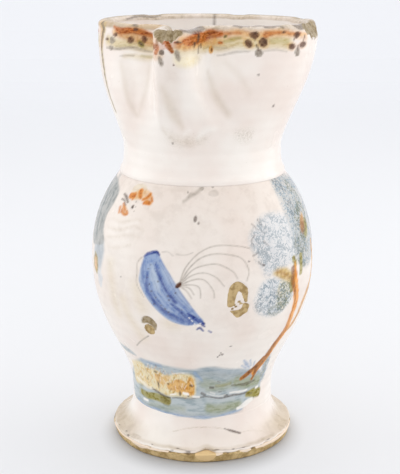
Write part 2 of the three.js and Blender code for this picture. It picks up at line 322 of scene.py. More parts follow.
class Canvas:
    """The paint on one glazed grid: an amount from 0 to 1 of each pigment at each of its points."""

    def __init__(self, points, across, up, paintable):
        self.across = across + BRUSH_SHAKE * np.sin(up * 0.37 + across * 0.09)
        self.up = up + BRUSH_SHAKE * np.sin(across * 0.33 - up * 0.07)
        self.paintable = paintable
        self.plane = np.stack(np.broadcast_arrays(across, up), axis=-1)
        seen = np.sum(face_normals(points) * (eye - points), axis=-1) > 0
        self.seen_plane = self.plane[seen & paintable]
        self.seen_pixels = picture_place(points)[seen & paintable]
        self.pigments = {}

    def at(self, pixel):
        """Place on the unrolled surface of a pixel: the visible grid point nearest to it in the picture."""
        offset = self.seen_pixels - np.asarray(pixel, float)
        return self.seen_plane[np.argmin(np.sum(offset**2, axis=-1))]

    def lay(self, pigment, amount):
        """Adds paint: where marks of one pigment overlap, the stronger one shows."""
        there = self.pigments.get(pigment, np.zeros(self.across.shape))
        self.pigments[pigment] = np.maximum(there, amount * self.paintable)

    def dab(self, pigment, pixel, size, tilt=0.0, strength=1.0):
        """An oval touch: full inside, gone at its rim; size is its half width and half height."""
        self.dab_on(pigment, self.at(pixel), size, tilt, strength)

    def dab_on(self, pigment, middle, size, tilt=0.0, strength=1.0):
        """An oval touch at a place on the unrolled surface, measured as a length that is 1 at its rim."""
        x, y = self.across - middle[0], self.up - middle[1]
        turn = np.radians(tilt)
        along = (x * np.cos(turn) + y * np.sin(turn)) / size[0]
        over = (y * np.cos(turn) - x * np.sin(turn)) / size[1]
        fade = min(0.6, 0.5 / min(size))
        self.lay(pigment, strength * smooth_step(-np.hypot(along, over), -1 - fade / 2, -1 + fade / 2))

    def dabs(self, pigment, marks, strength=1.0):
        """Upright dabs of one pigment: place, half width and half height, perhaps a strength of its own."""
        for pixel, size, *own in marks:
            self.dab(pigment, pixel, size, 0, *(own or [strength]))

    def stroke(self, pigment, pixels, width, strength=1.0, soft=0.33):
        """A brush stroke: full within half its width of its line, where width may swell from end to end."""
        self.stroke_on(pigment, [self.at(pixel) for pixel in pixels], width, strength, soft)

    def stroke_on(self, pigment, places, width, strength=1.0, soft=0.33):
        """A stroke through places on the unrolled surface, fading over its soft edge."""
        self.lay(pigment, strength * smooth_step(self.depth_in_stroke(places, width), -soft, soft))

    def strokes(self, pigment, marks, soft=0.33):
        """Strokes of one pigment: line, width, strength, perhaps a softness of its own."""
        for pixels, width, strength, *own in marks:
            self.stroke(pigment, pixels, width, strength, *(own or [soft]))

    def from_piece(self, start, end):
        """Distance of each point from a straight piece of line, and how far along it the nearest place is."""
        run = end - start
        x, y = self.across - start[0], self.up - start[1]
        t = np.clip((x * run[0] + y * run[1]) / max(run @ run, 1e-9), 0, 1)
        return np.hypot(x - t * run[0], y - t * run[1]), t

    def depth_in_stroke(self, places, width):
        """How deep inside a stroke each point lies: half its width less the least distance to its line."""
        line = through(places)
        share = np.linspace(0, 1, len(line))
        half = np.interp(share, np.linspace(0, 1, np.size(width)), np.atleast_1d(width)) / 2
        inside = np.full(self.across.shape, -np.inf)
        for start, end, first, last in zip(line[:-1], line[1:], half[:-1], half[1:]):
            distance, t = self.from_piece(start, end)
            inside = np.maximum(inside, first + (last - first) * t - distance)
        return inside

    def patch(self, pigment, pixels, strength=1.0, soft=0.8):
        """A filled patch: crossings of its edge say inside or out, distance to its edge fades it."""
        line = through([self.at(pixel) for pixel in [*pixels, pixels[0]]])
        crossings = np.zeros(self.across.shape, int)
        distance = np.full(self.across.shape, 1e9)
        for start, end in zip(line[:-1], line[1:]):
            distance = np.minimum(distance, self.from_piece(start, end)[0])
            between = (start[1] > self.up) != (end[1] > self.up)
            run = end - start
            slope = run[0] / run[1] if run[1] else 0.0
            crossings += between & (self.across - start[0] < slope * (self.up - start[1]))
        inside = np.where(crossings % 2 == 1, distance, -distance)
        self.lay(pigment, strength * smooth_step(inside, -soft, soft))

    def put_into(self, piece):
        """Writes each pigment's amounts to the piece as a float attribute of its points."""
        for pigment, amount in self.pigments.items():
            values = np.zeros(len(piece.data.vertices), np.float32)
            values[: amount.size] = amount.reshape(-1)
            attribute = piece.data.attributes.new(pigment, "FLOAT", "POINT")
            attribute.data.foreach_set("value", values)
        print(piece.name, "pigments:", ", ".join(self.pigments))


# %% [markdown]
# The belly's coat is the main canvas: a thin closed shell from the foot's joint to the shoulder, with
# the faint rings that fingers leave on the wheel. It is one grid, its outer face climbing and its inner
# face falling, so that it has a real thickness where a flake has come away.

# %% The belly's coat as a grid
STEP = 0.5
JOINT = 0.03
JOINT_FADE = 4.0
INNER_ROWS = 16
belly_count = int((shoulder_height - base_top) / STEP)
belly_outer = np.linspace(base_top + JOINT, shoulder_height - JOINT, belly_count)
belly_outer = np.concatenate([[base_top], belly_outer, [shoulder_height]])
belly_inner = np.linspace(shoulder_height, base_top, INNER_ROWS)
belly_heights = np.concatenate([belly_outer, belly_inner])[:, None]
belly_depths = np.where(np.arange(len(belly_heights)) < len(belly_outer), 0.0, coat)[:, None]
belly_points = wall_points(angles[None, :], belly_heights, belly_depths)
belly_out = np.stack([np.sin(angles), -np.cos(angles), np.zeros(COLUMNS)], axis=-1)[None]
belly_shown = np.broadcast_to(belly_depths == 0, belly_points.shape[:2])
from_joints = np.minimum(belly_heights - base_top, shoulder_height - belly_heights)
uneven = hand_wobble(angles[None, :], belly_heights) * smooth_step(from_joints, 0, JOINT_FADE) * belly_shown
belly_points = belly_points + belly_out * uneven[..., None]
belly_canvas = Canvas(belly_points, round_front * UNROLL_RADIUS, belly_heights, belly_shown)
front_step = np.diff(round_front).min() * belly_radius
print("belly grid", belly_points.shape[:2], f"with columns {front_step:.2f} mm apart on the front")

# %% [markdown]
# The cock stands in the middle of the belly. A blue wing is filled in first as a wash and then streaked
# with cobalt, thin grey arcs fan out behind it as a tail, and orange petals make its comb. It is a
# common country motif, painted here stroke by stroke from pixels of the photograph.

# %% The cock
WING_LEFT = [
    (144.4, 256), (140.3, 265), (138.9, 272), (139.5, 280), (142, 288.6), (146, 297.4), (152.6, 307),
    (161, 314.8), (172, 321), (183, 325.4), (191, 325.6),
]
WING_RIGHT = [
    (159.9, 255.3), (162.2, 261), (165.6, 268), (169, 273.4), (173, 280), (177.6, 287.4), (182.6, 295),
    (188, 302), (193.4, 309), (198.6, 316), (202.5, 321.5),
]
WING_CAP = [(145, 256.2), (149.5, 253), (155.9, 252.3), (159.6, 255.5)]
# Line in the picture, width, strength, softness of its edge
WING_STREAKS = [
    (
        [(155.3, 263.4), (157.6, 272.6), (162.2, 284), (169, 293.8), (176, 302.5)], (0.6, 1.6, 1.4, 2.0),
        0.85, 0.5,
    ),
    (
        [(146.4, 272), (146.7, 285), (149.4, 294), (155, 303), (163, 310), (176, 317)], (1.2, 1.8, 2.4, 2.2),
        0.75, 0.8,
    ),
    ([(151.8, 289.8), (155.9, 296.7), (159.9, 303.6)], (0.4, 0.9, 0.4), 0.6, 0.4),
    ([(171.4, 303.6), (176, 308.2), (185.2, 317.4), (190, 322)], (1.4, 2.0, 2.0), 0.8, 0.6),
    ([(160, 309), (170, 314.4), (182, 320), (192, 323.6)], (1.6, 3.0, 2.4), 0.55, 1.0),
    ([(187, 314), (194, 319), (202.6, 323.6)], (1.4, 2.4, 2.0), 1.0, 0.4),
    ([(162, 262), (168, 273), (178, 289), (190, 305)], (0.4, 0.6, 0.6), 0.4, 0.4),
    ([(143.6, 262), (142, 272), (143, 283)], (0.6, 1.2, 0.8), 0.5, 0.6),
    ([(174, 294), (182, 304), (190, 312)], (0.4, 0.8, 0.6), 0.5, 0.4),
]
WING_PALE_STREAKS = [
    ([(152.4, 266), (152.8, 276), (156.4, 287), (161, 295)], (1.4, 3.6, 2.8, 1.0), 0.8, 0.9),
    ([(162, 265), (169.6, 279), (180, 295), (190, 308.6)], (2.0, 3.2, 2.6, 1.4), 0.55, 0.9),
    ([(153, 298), (161, 306), (172, 312)], (0.6, 1.2, 0.6), 0.6, 0.5),
    ([(141, 268), (140.8, 277), (143.6, 287)], (0.8, 1.4, 0.8), 0.5, 0.6),
]
WING_HAIRS = 13
GOLDEN_RATIO = 0.618
WING_SPECKS = [
    (150.4, 264.4), (167.9, 295.8), (169.2, 299.4), (161, 305.4), (175.6, 293), (148.4, 269), (146.8, 277),
    (149, 285), (152.4, 291.6), (156, 298), (164, 308.6), (168.4, 312), (154, 304), (181, 310), (157.6, 282),
]
WING_GAPS = [(191.6, 321.6), (194.4, 324), (197.6, 325.8), (193, 326), (188.6, 318.6), (199.4, 323.4)]
WING_EDGE = [(142.6, 256.2), (136.9, 262.2), (136.3, 271.4), (137.5, 282.4), (140.9, 292), (143.8, 296.7)]
WING_TIPS = [
    [(197.4, 329.6), (199.6, 327.8), (203.6, 330)], [(208.6, 330.4), (211.6, 332)],
    [(201.6, 325), (204, 326)],
]
TAIL_ROOT = (177.3, 284.6)
TAIL_PLUMES = [
    [(187, 266), (200, 252.4), (223, 244.2), (251, 249)],
    [(189.6, 268.3), (202, 258), (221, 253.4), (240, 258.6), (248.5, 271), (248, 281)],
    [(191.9, 271.8), (204, 266), (218, 264.5), (233, 271), (238, 279)],
    [(190.7, 276.4), (205, 274), (217, 277), (224.5, 286.5)],
    [(193, 280.4), (204.5, 281), (212.5, 289), (214.4, 297)],
    [(192, 285.3), (199, 288.5), (200.8, 298)],
    [(188.4, 288.4), (194.2, 295)],
    [(186, 291.3), (192, 299)],
]
COMB = [
    (130.6, 193.6), (135, 191), (139.6, 188.8), (146, 189.4), (151, 193.4), (153, 199.4), (151.4, 204.6),
    (146, 205), (142, 201.6), (138, 199.6), (131.4, 199.4),
]
COMB_STROKES = [
    ([(131.2, 194.8), (134.6, 194.4)], 2.8),
    ([(134, 196), (133, 198.6)], (2.2, 1.2)),
    ([(140.4, 191.2), (140.6, 194.6), (140.9, 198.6)], (3.2, 2.4, 0.8)),
    ([(142.4, 200.2), (146, 197.8), (149.8, 195.6)], (1.0, 1.6, 1.8)),
    ([(143.4, 203.2), (146.4, 202.8), (149.6, 203.6)], (1.4, 2.2, 1.8)),
    ([(151.2, 198), (151.4, 202)], 0.8),
]
COMB_HALO = ((139, 190.6), (6.0, 3.4), 0)
WATTLE = [(122, 206.6), (126.4, 204.8), (128, 209), (127.2, 213.6), (124.6, 214.6), (122.4, 211.4)]
WATTLE_STROKES = [
    ([(120.6, 207.2), (119.2, 211.6)], 1.8),
    ([(122.2, 209.4), (124.4, 213.8), (127, 213.6), (127.6, 210.4)], 1.4),
    ([(124, 204.6), (125.4, 209.4)], 1.6),
    ([(121.4, 211), (123.4, 213)], 1.2),
]
BEAK = [
    ([(123.6, 194.6), (126.7, 197.3), (128.2, 201)], (0.9, 1.7, 1.3)),
    ([(121.8, 199.4), (124.2, 201), (126, 204.7)], 0.8),
]
COCK_EYE = (133.2, 206.8)
EYE_MARKS = [(135.7, 206.4), (133.8, 211.6), (136.5, 201)]
# Pigment and line of the feathers below the cock's head, drawn in white and left to gather dust
NECK_FEATHERS = [
    ("dirt", [(112, 218.4), (124, 221), (136, 220), (142, 221.6)]),
    ("white", [(110, 222), (122, 225), (138, 224)]),
    ("dirt", [(108, 227.6), (120, 229), (132, 227), (143, 229.6)]),
    ("white", [(106, 231), (118, 233), (131, 231)]),
    ("dirt", [(106, 236.4), (116, 237), (128, 236), (138, 238)]),
    ("white", [(106, 241), (117, 242), (128, 241)]),
    ("dirt", [(108, 246), (118, 247.6), (130, 246)]),
]
BACK_LINES = [[(161.6, 252.5), (167.4, 252.3), (173.4, 256)], [(176, 254.2), (185, 254.2), (192, 252.8)]]

belly_canvas.patch("wash", [*WING_LEFT, *reversed(WING_RIGHT), *reversed(WING_CAP)], 1.0, 0.45)
left_edge, right_edge = np.array(WING_LEFT), np.array(WING_RIGHT)
for hair in range(WING_HAIRS):
    share = (hair + 0.5) / WING_HAIRS
    line = left_edge + share * (right_edge - left_edge)
    load = 0.3 + 0.3 * (hair * GOLDEN_RATIO % 1)
    belly_canvas.stroke(("pale_blue", "cobalt")[hair % 2], line[1:-1], (0.2, 0.5, 0.3), load, 0.4)
belly_canvas.stroke("cobalt", WING_CAP, (0.9, 1.7, 1.7, 1.0), 1.0)
belly_canvas.strokes("cobalt", WING_STREAKS)
belly_canvas.strokes("pale_blue", WING_PALE_STREAKS)
for place in WING_SPECKS:
    belly_canvas.dab("ink_and_shadow", place, (0.45, 0.45), 0, 0.6)
for place in WING_GAPS:
    belly_canvas.dab("white", place, (0.55, 0.3), -30, 0.8)
belly_canvas.stroke("line", WING_EDGE, 0.35, 0.7, 0.5)
for line in WING_TIPS:
    belly_canvas.stroke("cobalt", line, (0.8, 1.4, 0.9), 0.85)
for plume in TAIL_PLUMES:
    belly_canvas.stroke("line", [TAIL_ROOT, *plume], (0.6, 0.35, 0.3), 0.8, 0.5)
belly_canvas.dab("manganese", TAIL_ROOT, (1.1, 1.9), -40, 1.0)
belly_canvas.dab("lemon", *COMB_HALO, 0.35)
belly_canvas.patch("amber", COMB, 0.6, 0.7)
for line, width in COMB_STROKES:
    belly_canvas.stroke("ochre", line, width, 0.9, 0.4)
    belly_canvas.stroke("rust", line, np.array(width) * 0.85, 0.75, 0.6)
belly_canvas.patch("amber", WATTLE, 0.55, 0.6)
for line, width in WATTLE_STROKES:
    belly_canvas.stroke("ochre", line, width, 0.65, 0.4)
    belly_canvas.stroke("rust", line, np.array(width) * 0.8, 0.65, 0.6)
for line, width in BEAK:
    belly_canvas.stroke("ink_and_shadow", line, width, 0.8)
belly_canvas.dab("ink_and_shadow", COCK_EYE, (0.7, 1.0), 0, 1.0)
for place in EYE_MARKS:
    belly_canvas.dab("line", place, (0.4, 0.5), 0, 0.7)
for pigment, line in NECK_FEATHERS:
    belly_canvas.stroke(pigment, line, (0.5, 1.4, 0.8, 1.2), 0.22, 1.0)
for line in BACK_LINES:
    belly_canvas.stroke("line", line, 0.3, 0.55, 0.5)
print("cock painted with", len(TAIL_PLUMES), "plumes")

# %% [markdown]
# The trees at the sides were dabbed on with a piece of sponge dipped in blue-grey, over an orange trunk
# drawn in one pull of the brush. The sponge's grain comes from noise in the finish, so here each clump
# is only a soft patch that says how wet the sponge was.

# %% The trees
CROWN = [
    (270, 179), (280, 171), (293, 178), (303, 196), (311, 220), (312, 245), (308, 264), (299, 262),
    (293, 240), (285, 212), (277, 195),
]
SIDE_CLUMP = [
    (259, 219), (266, 214), (276, 213), (290, 216), (300, 236), (297, 256), (284, 266), (268, 276),
    (262, 267), (256, 254), (251, 243), (252, 232),
]
LOW_CLUMP = [
    (255, 300), (262, 285), (270, 279), (284, 281), (292, 290), (289, 301), (281, 311), (268, 316),
    (259, 311),
]
# Thin wash under the sponging, clump, how wet the sponge was, how strong the wash
RIGHT_TREE = [("fog", CROWN, 1.0, 0.7), ("mist", SIDE_CLUMP, 0.66, 0.5), ("mist", LOW_CLUMP, 0.9, 0.6)]
# Place, half sizes, strength
DARK_DABS = [
    ((257, 243), (3.4, 8.0), 0.2), ((263, 257), (5.0, 4.0), 0.25), ((286, 198), (3.4, 10.0), 0.6),
    ((300, 236), (5.0, 12.0), 0.35), ((261, 304), (4.0, 5.0), 0.35), ((276, 300), (5.0, 8.0), 0.3),
    ((262, 226), (3.0, 4.0), 0.35), ((277, 184), (3.4, 5.0), 0.6), ((294, 214), (3.0, 8.0), 0.6),
]
GREEN_DABS = [
    ((284, 296), (6.0, 8.0), 0.62), ((303, 244), (8.0, 12.0), 0.5), ((298, 202), (6.0, 12.0), 0.6),
    ((291, 282), (2.5, 4.0), 0.7), ((302, 224), (7.0, 9.0), 0.7), ((276, 310), (5.0, 3.0), 0.4),
]
MOSS_WASH = [((284, 294), (4.6, 8.0), 0.2)]
STRAW_WASH = [((284, 294), (5.0, 8.4), 0.34)]
TWIGS = [[(257.7, 219.5), (260.8, 224.4)], [(251.6, 224.2), (257.7, 229.8)], [(253, 256), (259, 252)]]
TWIGS += [[(254, 236), (251.4, 241), (254, 246)], [(258, 262), (262.6, 265)], [(264, 240), (270, 246)]]
LEFT_TREE = [
    (123, 166), (119.5, 186), (114.8, 201), (107.4, 214), (104.2, 228), (103.4, 244), (97, 244), (93, 240),
    (95, 218), (104, 195), (114, 174),
]
LEFT_TREE_LOW = [(103.4, 242), (103, 256), (101, 268), (98, 268), (95, 258), (96, 242)]
LEFT_STREAKS = [
    ([(117, 172), (108, 192), (100.5, 212), (96.6, 234)], 2.4, 0.7),
    ([(120, 176), (113, 194), (105, 212), (101.6, 232)], 1.2, 0.6),
    ([(121, 172), (116.6, 188), (110.6, 203)], 0.8, 0.6),
]
LEFT_LILAC = ((100, 277), (3.0, 6.0), 0)
TRUNK = [
    (295, 261), (295.3, 270), (295.6, 282), (296, 295), (294, 309), (285, 329.5), (274, 345.5), (262, 362),
    (254.5, 371),
]
TRUNK_WIDTHS = (0.4, 2.4, 4.7, 5.0, 4.6, 4.8, 5.0, 5.2, 5.2)
TRUNK_SIDE = [
    (293, 268), (293.6, 282), (294.4, 295), (292.6, 309), (283.6, 329.5), (272.6, 345.5), (260.8, 362),
]
TRUNK_CORE = [(294.6, 302), (286, 327.6), (275, 344), (263, 360.6), (256, 369)]
ROOTS = [
    ([(263, 358), (255, 367), (248.6, 372.4), (241, 378.4)], (2.2, 3.0, 3.4, 2.2)),
    ([(257, 366), (255, 372.4), (251.6, 379)], (2.0, 2.6, 2.0)),
]
SECOND_TRUNK = [(311.4, 262), (309.6, 280), (303.8, 298.5), (297.6, 313.5), (290.4, 325), (285.4, 330.6)]
INTO_CROWN = np.array([-3.0, 13.0])
BRANCH = [(275.5, 272), (281, 273), (287, 275), (294, 279)]
HATCH_STARTS = [(278, 270.1), (281.4, 270.95), (284.8, 271.8), (288.2, 272.65)]
HATCH_RUN = np.array([-0.6, 5.8])
TUFT = [(302, 214), (302.4, 221), (302, 229)]
TUFT_HEART = [(302, 218.6), (302.4, 225), (302, 230)]
TUFT_SIDE = [(304.6, 217), (305.6, 225), (305, 233)]
LEAF_STROKES = [
    [(301, 255), (301.4, 264), (300.4, 273)], [(293.5, 258), (295, 264)], [(292.4, 282), (292, 290)],
]
LEFT_OVAL = [(95.6, 252), (97.8, 260), (96.8, 272), (94.6, 262)]
LEFT_LEAF = [(121.6, 344.6), (127, 349), (132, 352.4), (136, 355)]

for pigment, clump, wetness, wash in RIGHT_TREE:
    belly_canvas.patch(pigment, clump, wash, 2.6)
    belly_canvas.patch("sponge", clump, wetness, 2.2)
belly_canvas.patch("fog", LEFT_TREE, 1.0, 0.8)
belly_canvas.patch("mist", LEFT_TREE_LOW, 1.0, 1.4)
belly_canvas.patch("fog", LEFT_TREE_LOW, 0.5, 2.0)
belly_canvas.strokes("slate", LEFT_STREAKS, 0.9)
belly_canvas.dab("mist", *LEFT_LILAC, 0.6)
belly_canvas.dabs("sponge_dark", DARK_DABS)
belly_canvas.dabs("moss", MOSS_WASH)
belly_canvas.dabs("straw", STRAW_WASH)
belly_canvas.dabs("leaf", GREEN_DABS)
for line in TWIGS:
    belly_canvas.stroke("ink_and_shadow", line, (0.8, 0.4), 0.5)
belly_canvas.stroke("ochre", TRUNK, TRUNK_WIDTHS, 1.0)
belly_canvas.stroke("umber", TRUNK_SIDE, (3.0, 3.2, 1.4, 0.6, 0.8, 1.6, 2.0), 0.85, 0.7)
belly_canvas.stroke("umber", TRUNK_CORE, (0.2, 1.0, 3.0, 4.0, 4.4), 0.8, 1.0)
for line, width in ROOTS:
    belly_canvas.stroke("ochre", line, width, 1.0)
    belly_canvas.stroke("umber", line, width, 0.95, 0.7)
second_trunk = [belly_canvas.at(pixel) for pixel in SECOND_TRUNK]
second_trunk = [second_trunk[0] + INTO_CROWN, *second_trunk]
belly_canvas.stroke_on("amber", second_trunk, (2.0, 5.6, 6.4, 5.0, 3.4, 2.6), 0.85)
belly_canvas.stroke_on("umber", second_trunk, (0.6, 2.6, 3.0, 2.2, 1.2, 1.0), 0.45, 0.8)
belly_canvas.stroke("lemon", BRANCH, (4.0, 6.4, 4.6), 1.0, 1.2)
belly_canvas.stroke("amber", BRANCH, (2.0, 4.6, 3.6), 0.28, 1.4)
belly_canvas.stroke("umber", BRANCH, (0.4, 1.0, 1.6), 0.45, 0.7)
for start in HATCH_STARTS:
    belly_canvas.stroke("umber", [start, start + HATCH_RUN], 0.7, 0.6, 0.6)
belly_canvas.stroke("amber", TUFT, (2.2, 5.4, 3.4), 0.75, 1.2)
belly_canvas.stroke("umber", TUFT_HEART, (1.4, 4.6, 4.6), 0.75, 1.6)
belly_canvas.stroke("olive", TUFT_SIDE, (1.4, 5.2, 4.0), 0.9, 1.2)
for line in LEAF_STROKES:
    belly_canvas.stroke("olive", line, 3.0, 0.9)
belly_canvas.patch("amber", LEFT_OVAL, 0.75, 0.8)
belly_canvas.stroke("olive", [*LEFT_OVAL, LEFT_OVAL[0]], 2.2, 0.6)
belly_canvas.stroke("haze", LEFT_LEAF, (3.0, 3.8, 3.0, 1.0), 0.9, 0.8)
print("trees painted")

# %% [markdown]
# Under the cock lies a strip of ground: sponged blue-grey with straw, olive and a few dark pulls of the
# brush. Its lower edge hangs like a garland round the stem. Patches and strokes are enough, because the
# noise of the sponge breaks up their edges.

# %% The ground
GROUND = [
    (141, 358), (154, 362.5), (167, 365.4), (181, 368.6), (192, 369.4), (202, 367.6), (214, 367.4),
    (228, 368.4), (242, 369), (256, 368), (261, 374), (259.5, 387), (255, 396), (241, 408.4), (225, 415.4),
    (206, 418.4), (188, 417.4), (170, 414), (153, 408), (143, 405), (136, 395), (133, 378), (134, 364),
]
GROUND_EDGE = [
    (138, 398), (145, 405.4), (153, 408.2), (165, 412.4), (177, 415.4), (192.5, 417.8), (214.5, 417.2),
    (229, 413), (241, 408),
]
BLUE_TOPS = [
    ([(192, 371), (212, 370.4), (232, 371.4), (250, 372)], 3.0, 0.15),
    ([(142, 360), (150, 363), (160, 366)], 2.4, 0.5),
    ([(194.3, 372.3), (198, 376), (202.3, 381.3)], (2.0, 1.4, 0.8), 0.9),
]
GROUND_SHADE = [(190, 373), (212, 373.6), (228, 374), (246, 374.6)]
GREENS = [
    ([(204, 383), (218, 386), (240, 382)], 6.0, 0.55), ([(208, 390), (224, 388)], 3.0, 0.6),
    ([(208, 408), (222, 408), (239, 404.6)], 5.0, 0.85), ([(150, 404), (168, 407), (184, 409)], 3.0, 0.45),
    ([(237, 382), (247, 382), (257, 380)], 7.0, 0.9), ([(142, 384), (140, 391)], 4.0, 0.4),
]
PALE_WASHES = [
    ([(138, 386), (139, 396), (146, 402)], 3.4, 0.7), ([(174, 402), (192, 405), (208, 403)], 3.0, 0.5),
    ([(160, 368), (178, 372)], 3.0, 0.5), ([(206, 376), (222, 377)], 3.0, 0.35),
]
STRAW_BUSH = [
    (132, 360), (140, 361), (147, 367), (157, 370.6), (165, 374.6), (176, 374.4), (191, 375), (195.4, 381),
    (196, 387), (193.6, 396), (180, 397), (168, 395.4), (154, 390), (144, 385), (136, 379),
]
# Place, half sizes, strength
ORANGE_STRAW = [
    ((180, 387), (6.6, 4.4), 0.75), ((191, 386), (2.6, 6.0), 0.85), ((160, 379), (5.0, 3.0), 0.5),
    ((188, 391), (4.0, 2.6), 0.9), ((170, 386), (3.0, 2.4), 0.7), ((168, 378), (3.0, 2.0), 0.4),
]
# Marks in the straw: how many, where they start, their run along the bush and their spread to each side,
# then the length and lean of one. Steps of the plastic number's powers spread them evenly.
STRAW_MARKS = 120
STRAW_START = np.array([139.0, 369.0])
STRAW_RUN = np.array([54.0, 18.0])
STRAW_HALF = np.array([-2.0, 9.0])
STRAW_LENGTH = 4.0
STRAW_LEAN = 2.4
EVEN_SPREAD = np.array([0.7549, 0.5698])
GOLDEN_ANGLE = 2.4
STRAW_PIGMENTS = ("amber", "straw_pale", "umber", "amber", "white")
STRAW_SPOTS = [
    ((155.9, 372.3), (1.3, 0.8)), ((153, 388.4), (0.9, 0.9)), ((180, 393.8), (1.0, 1.4)),
    ((158.6, 385), (0.6, 2.4)), ((168.4, 383), (0.9, 0.7)), ((191.6, 385), (1.6, 0.8)),
    ((148, 378.4), (0.5, 0.9)), ((188, 396), (1.0, 0.6)),
]
OLIVE_BANDS = [
    ([(141.6, 391.6), (155, 396.5), (168.6, 400.4)], (3.4, 4.6, 5.0), 0.95),
    ([(247.5, 394), (253, 393), (258, 391)], (3.4, 5.6, 5.4), 1.0),
    ([(216, 386), (230, 384)], 2.0, 0.4),
]
OLIVE_END = [(162, 399), (168.6, 400.8)]
WHITE_STREAKS = [
    ([(137, 377), (146, 384.6), (153, 389)], (1.4, 2.6, 1.0), 0.5),
    ([(170, 394), (175.4, 394.6)], (0.8, 2.0, 0.8), 1.0), ([(183, 393.6), (187.6, 394.4)], 1.6, 1.0),
    ([(230, 393), (240, 391), (247, 389)], (0.8, 1.6, 1.0), 0.8),
    ([(237, 408), (246, 403), (252, 399)], (1.6, 3.4, 2.0), 0.85),
    ([(207, 394.6), (218, 395.6), (226, 394.6)], 0.7, 0.6), ([(192, 396.4), (199, 397)], 1.4, 0.8),
    ([(255, 388), (258, 386)], 1.4, 0.9), ([(144, 398.4), (148, 400)], 1.2, 0.9),
    ([(172, 373.6), (184, 373.4)], 0.8, 0.6), ([(211, 393), (215, 393)], 0.8, 0.5),
]
THIN_INK = 0.8
DARK_PULLS = [
    ([(152, 388.6), (157, 391.5), (163, 394.8), (171, 397.4)], (0.6, 1.5, 1.2, 0.8), 0.9),
    (
        [(172, 397.6), (190, 398.4), (206, 397), (224, 397.4), (236, 394.6), (247, 392)],
        (0.5, 0.6, 0.8, 1.2, 1.0), 0.9,
    ),
    ([(202, 394), (204.6, 395)], 1.8, 0.8), ([(225, 395.6), (228, 396.4)], 1.8, 0.8),
    ([(210.6, 387.6), (213.6, 387.8)], 1.5, 0.8), ([(232, 385.8), (236, 385.4)], 1.2, 0.6),
    ([(238, 385), (247, 383), (254, 380.4)], (1.0, 2.4, 1.2), 0.7), ([(219, 391), (222, 391.4)], 1.0, 0.5),
    ([(247, 394), (252, 393)], 1.2, 0.6), ([(217, 381), (220, 381.6)], 0.9, 0.5),
]
ROOT_TUFT = [(268, 352), (266, 362), (262.6, 376)]
SPRIGS = [
    [(244, 361), (247, 364.5), (250, 367)], [(250, 360), (251.6, 365)], [(255, 361), (254, 365)],
    [(269, 358), (268, 363)], [(265, 364), (263, 370)], [(268, 366), (263, 374)], [(242, 366), (246, 368)],
    [(264, 374), (260, 380)],
]

belly_canvas.patch("haze", GROUND, 1.0, 1.3)
belly_canvas.strokes("mist", PALE_WASHES, 1.4)
belly_canvas.stroke("slate", GROUND_SHADE, (2.0, 6.0, 6.0, 3.0), 0.3, 2.0)
belly_canvas.stroke("slate", GROUND_EDGE, 3.4, 0.24, 1.6)
belly_canvas.stroke("blue_edge", GROUND_EDGE, 1.2, 0.8, 0.7)
belly_canvas.strokes("blue_edge", BLUE_TOPS, 1.2)
belly_canvas.strokes("moss", GREENS, 1.8)
belly_canvas.patch("straw", STRAW_BUSH, 0.9, 1.2)
belly_canvas.dabs("amber", ORANGE_STRAW)
for mark in range(STRAW_MARKS):
    along, over = (mark + 0.5) * EVEN_SPREAD % 1
    root = STRAW_START + along * STRAW_RUN + (2 * over - 1) * STRAW_HALF
    blade = np.array([STRAW_LEAN * np.sin(mark * GOLDEN_ANGLE), STRAW_LENGTH])
    pigment = STRAW_PIGMENTS[mark % len(STRAW_PIGMENTS)]
    belly_canvas.stroke(pigment, [root, root + blade], (0.3, 0.9, 0.3), 0.75, 0.4)
belly_canvas.dabs("ink_and_shadow", STRAW_SPOTS, 0.75)
belly_canvas.strokes("olive", OLIVE_BANDS, 0.7)
belly_canvas.stroke("ink_and_shadow", OLIVE_END, 3.6, 0.3, 1.4)
belly_canvas.strokes("white", WHITE_STREAKS)
for line, width, strength in DARK_PULLS:
    belly_canvas.stroke("ink_and_shadow", line, width, strength * THIN_INK)
belly_canvas.stroke("haze", ROOT_TUFT, (2.4, 6.0, 5.0), 0.7, 1.6)
belly_canvas.stroke("moss", ROOT_TUFT, (0.6, 3.0, 3.0), 0.5, 1.6)
belly_canvas.stroke("sponge_dark", ROOT_TUFT, (3.0, 7.0, 6.0), 0.5, 1.6)
for line in SPRIGS:
    belly_canvas.stroke("blue_edge", line, (1.0, 2.4, 1.0), 0.75, 0.7)
print("ground painted with", STRAW_MARKS, "marks of straw")

# %% [markdown]
# Old tin glaze flakes away from its clay. On this belly two flakes are gone, one shaped like an arch
# and one like a crescent, and small pocks and smears lie between the strokes. The same amounts that
# colour the bare clay also press the grid in by the thickness of the glaze.

# %% Wear of the belly, and painted shade
ARCH_FLAKE = [
    (231.6, 304.6), (231.6, 297), (233.6, 290.6), (238.6, 287.4), (243.4, 290), (245, 296), (245.6, 301),
]
ARCH_FOOT = [
    (243.3, 302.5), (249.4, 304), (248.6, 310.8), (245.6, 312.3), (238, 317.7), (232.7, 313.9),
    (231.2, 311.4), (236.5, 310.8), (241.8, 308.5),
]
ARCH_CRUMBS = [(229.5, 306.5), (233, 309), (241, 304), (236.4, 307.5), (239, 302), (234.6, 306)]
CRESCENT_RIM = [(142.8, 322), (146, 320.4), (150.2, 321.6), (153.4, 325.2), (154.8, 329)]
CRESCENT_SCAR = ((149.2, 330), (3.0, 2.8), -30)
CRACK_BELOW = [(148.5, 336), (143, 340), (136.5, 345)]
SMEAR = [(201.4, 187.6), (196, 192.6), (191, 194.6), (187, 199.4), (183.2, 201.6)]
SMEAR_SPOTS = [
    ((201.6, 188.4), (1.2, 0.9), 0.7), ((213.5, 194), (3.0, 1.4), 0.25), ((188.5, 193), (0.5, 0.5), 0.7),
]
SEAM_SHADE = [(126, 177), (140, 183), (160, 188.6), (185, 191), (215, 191), (245, 187.6), (268, 181)]
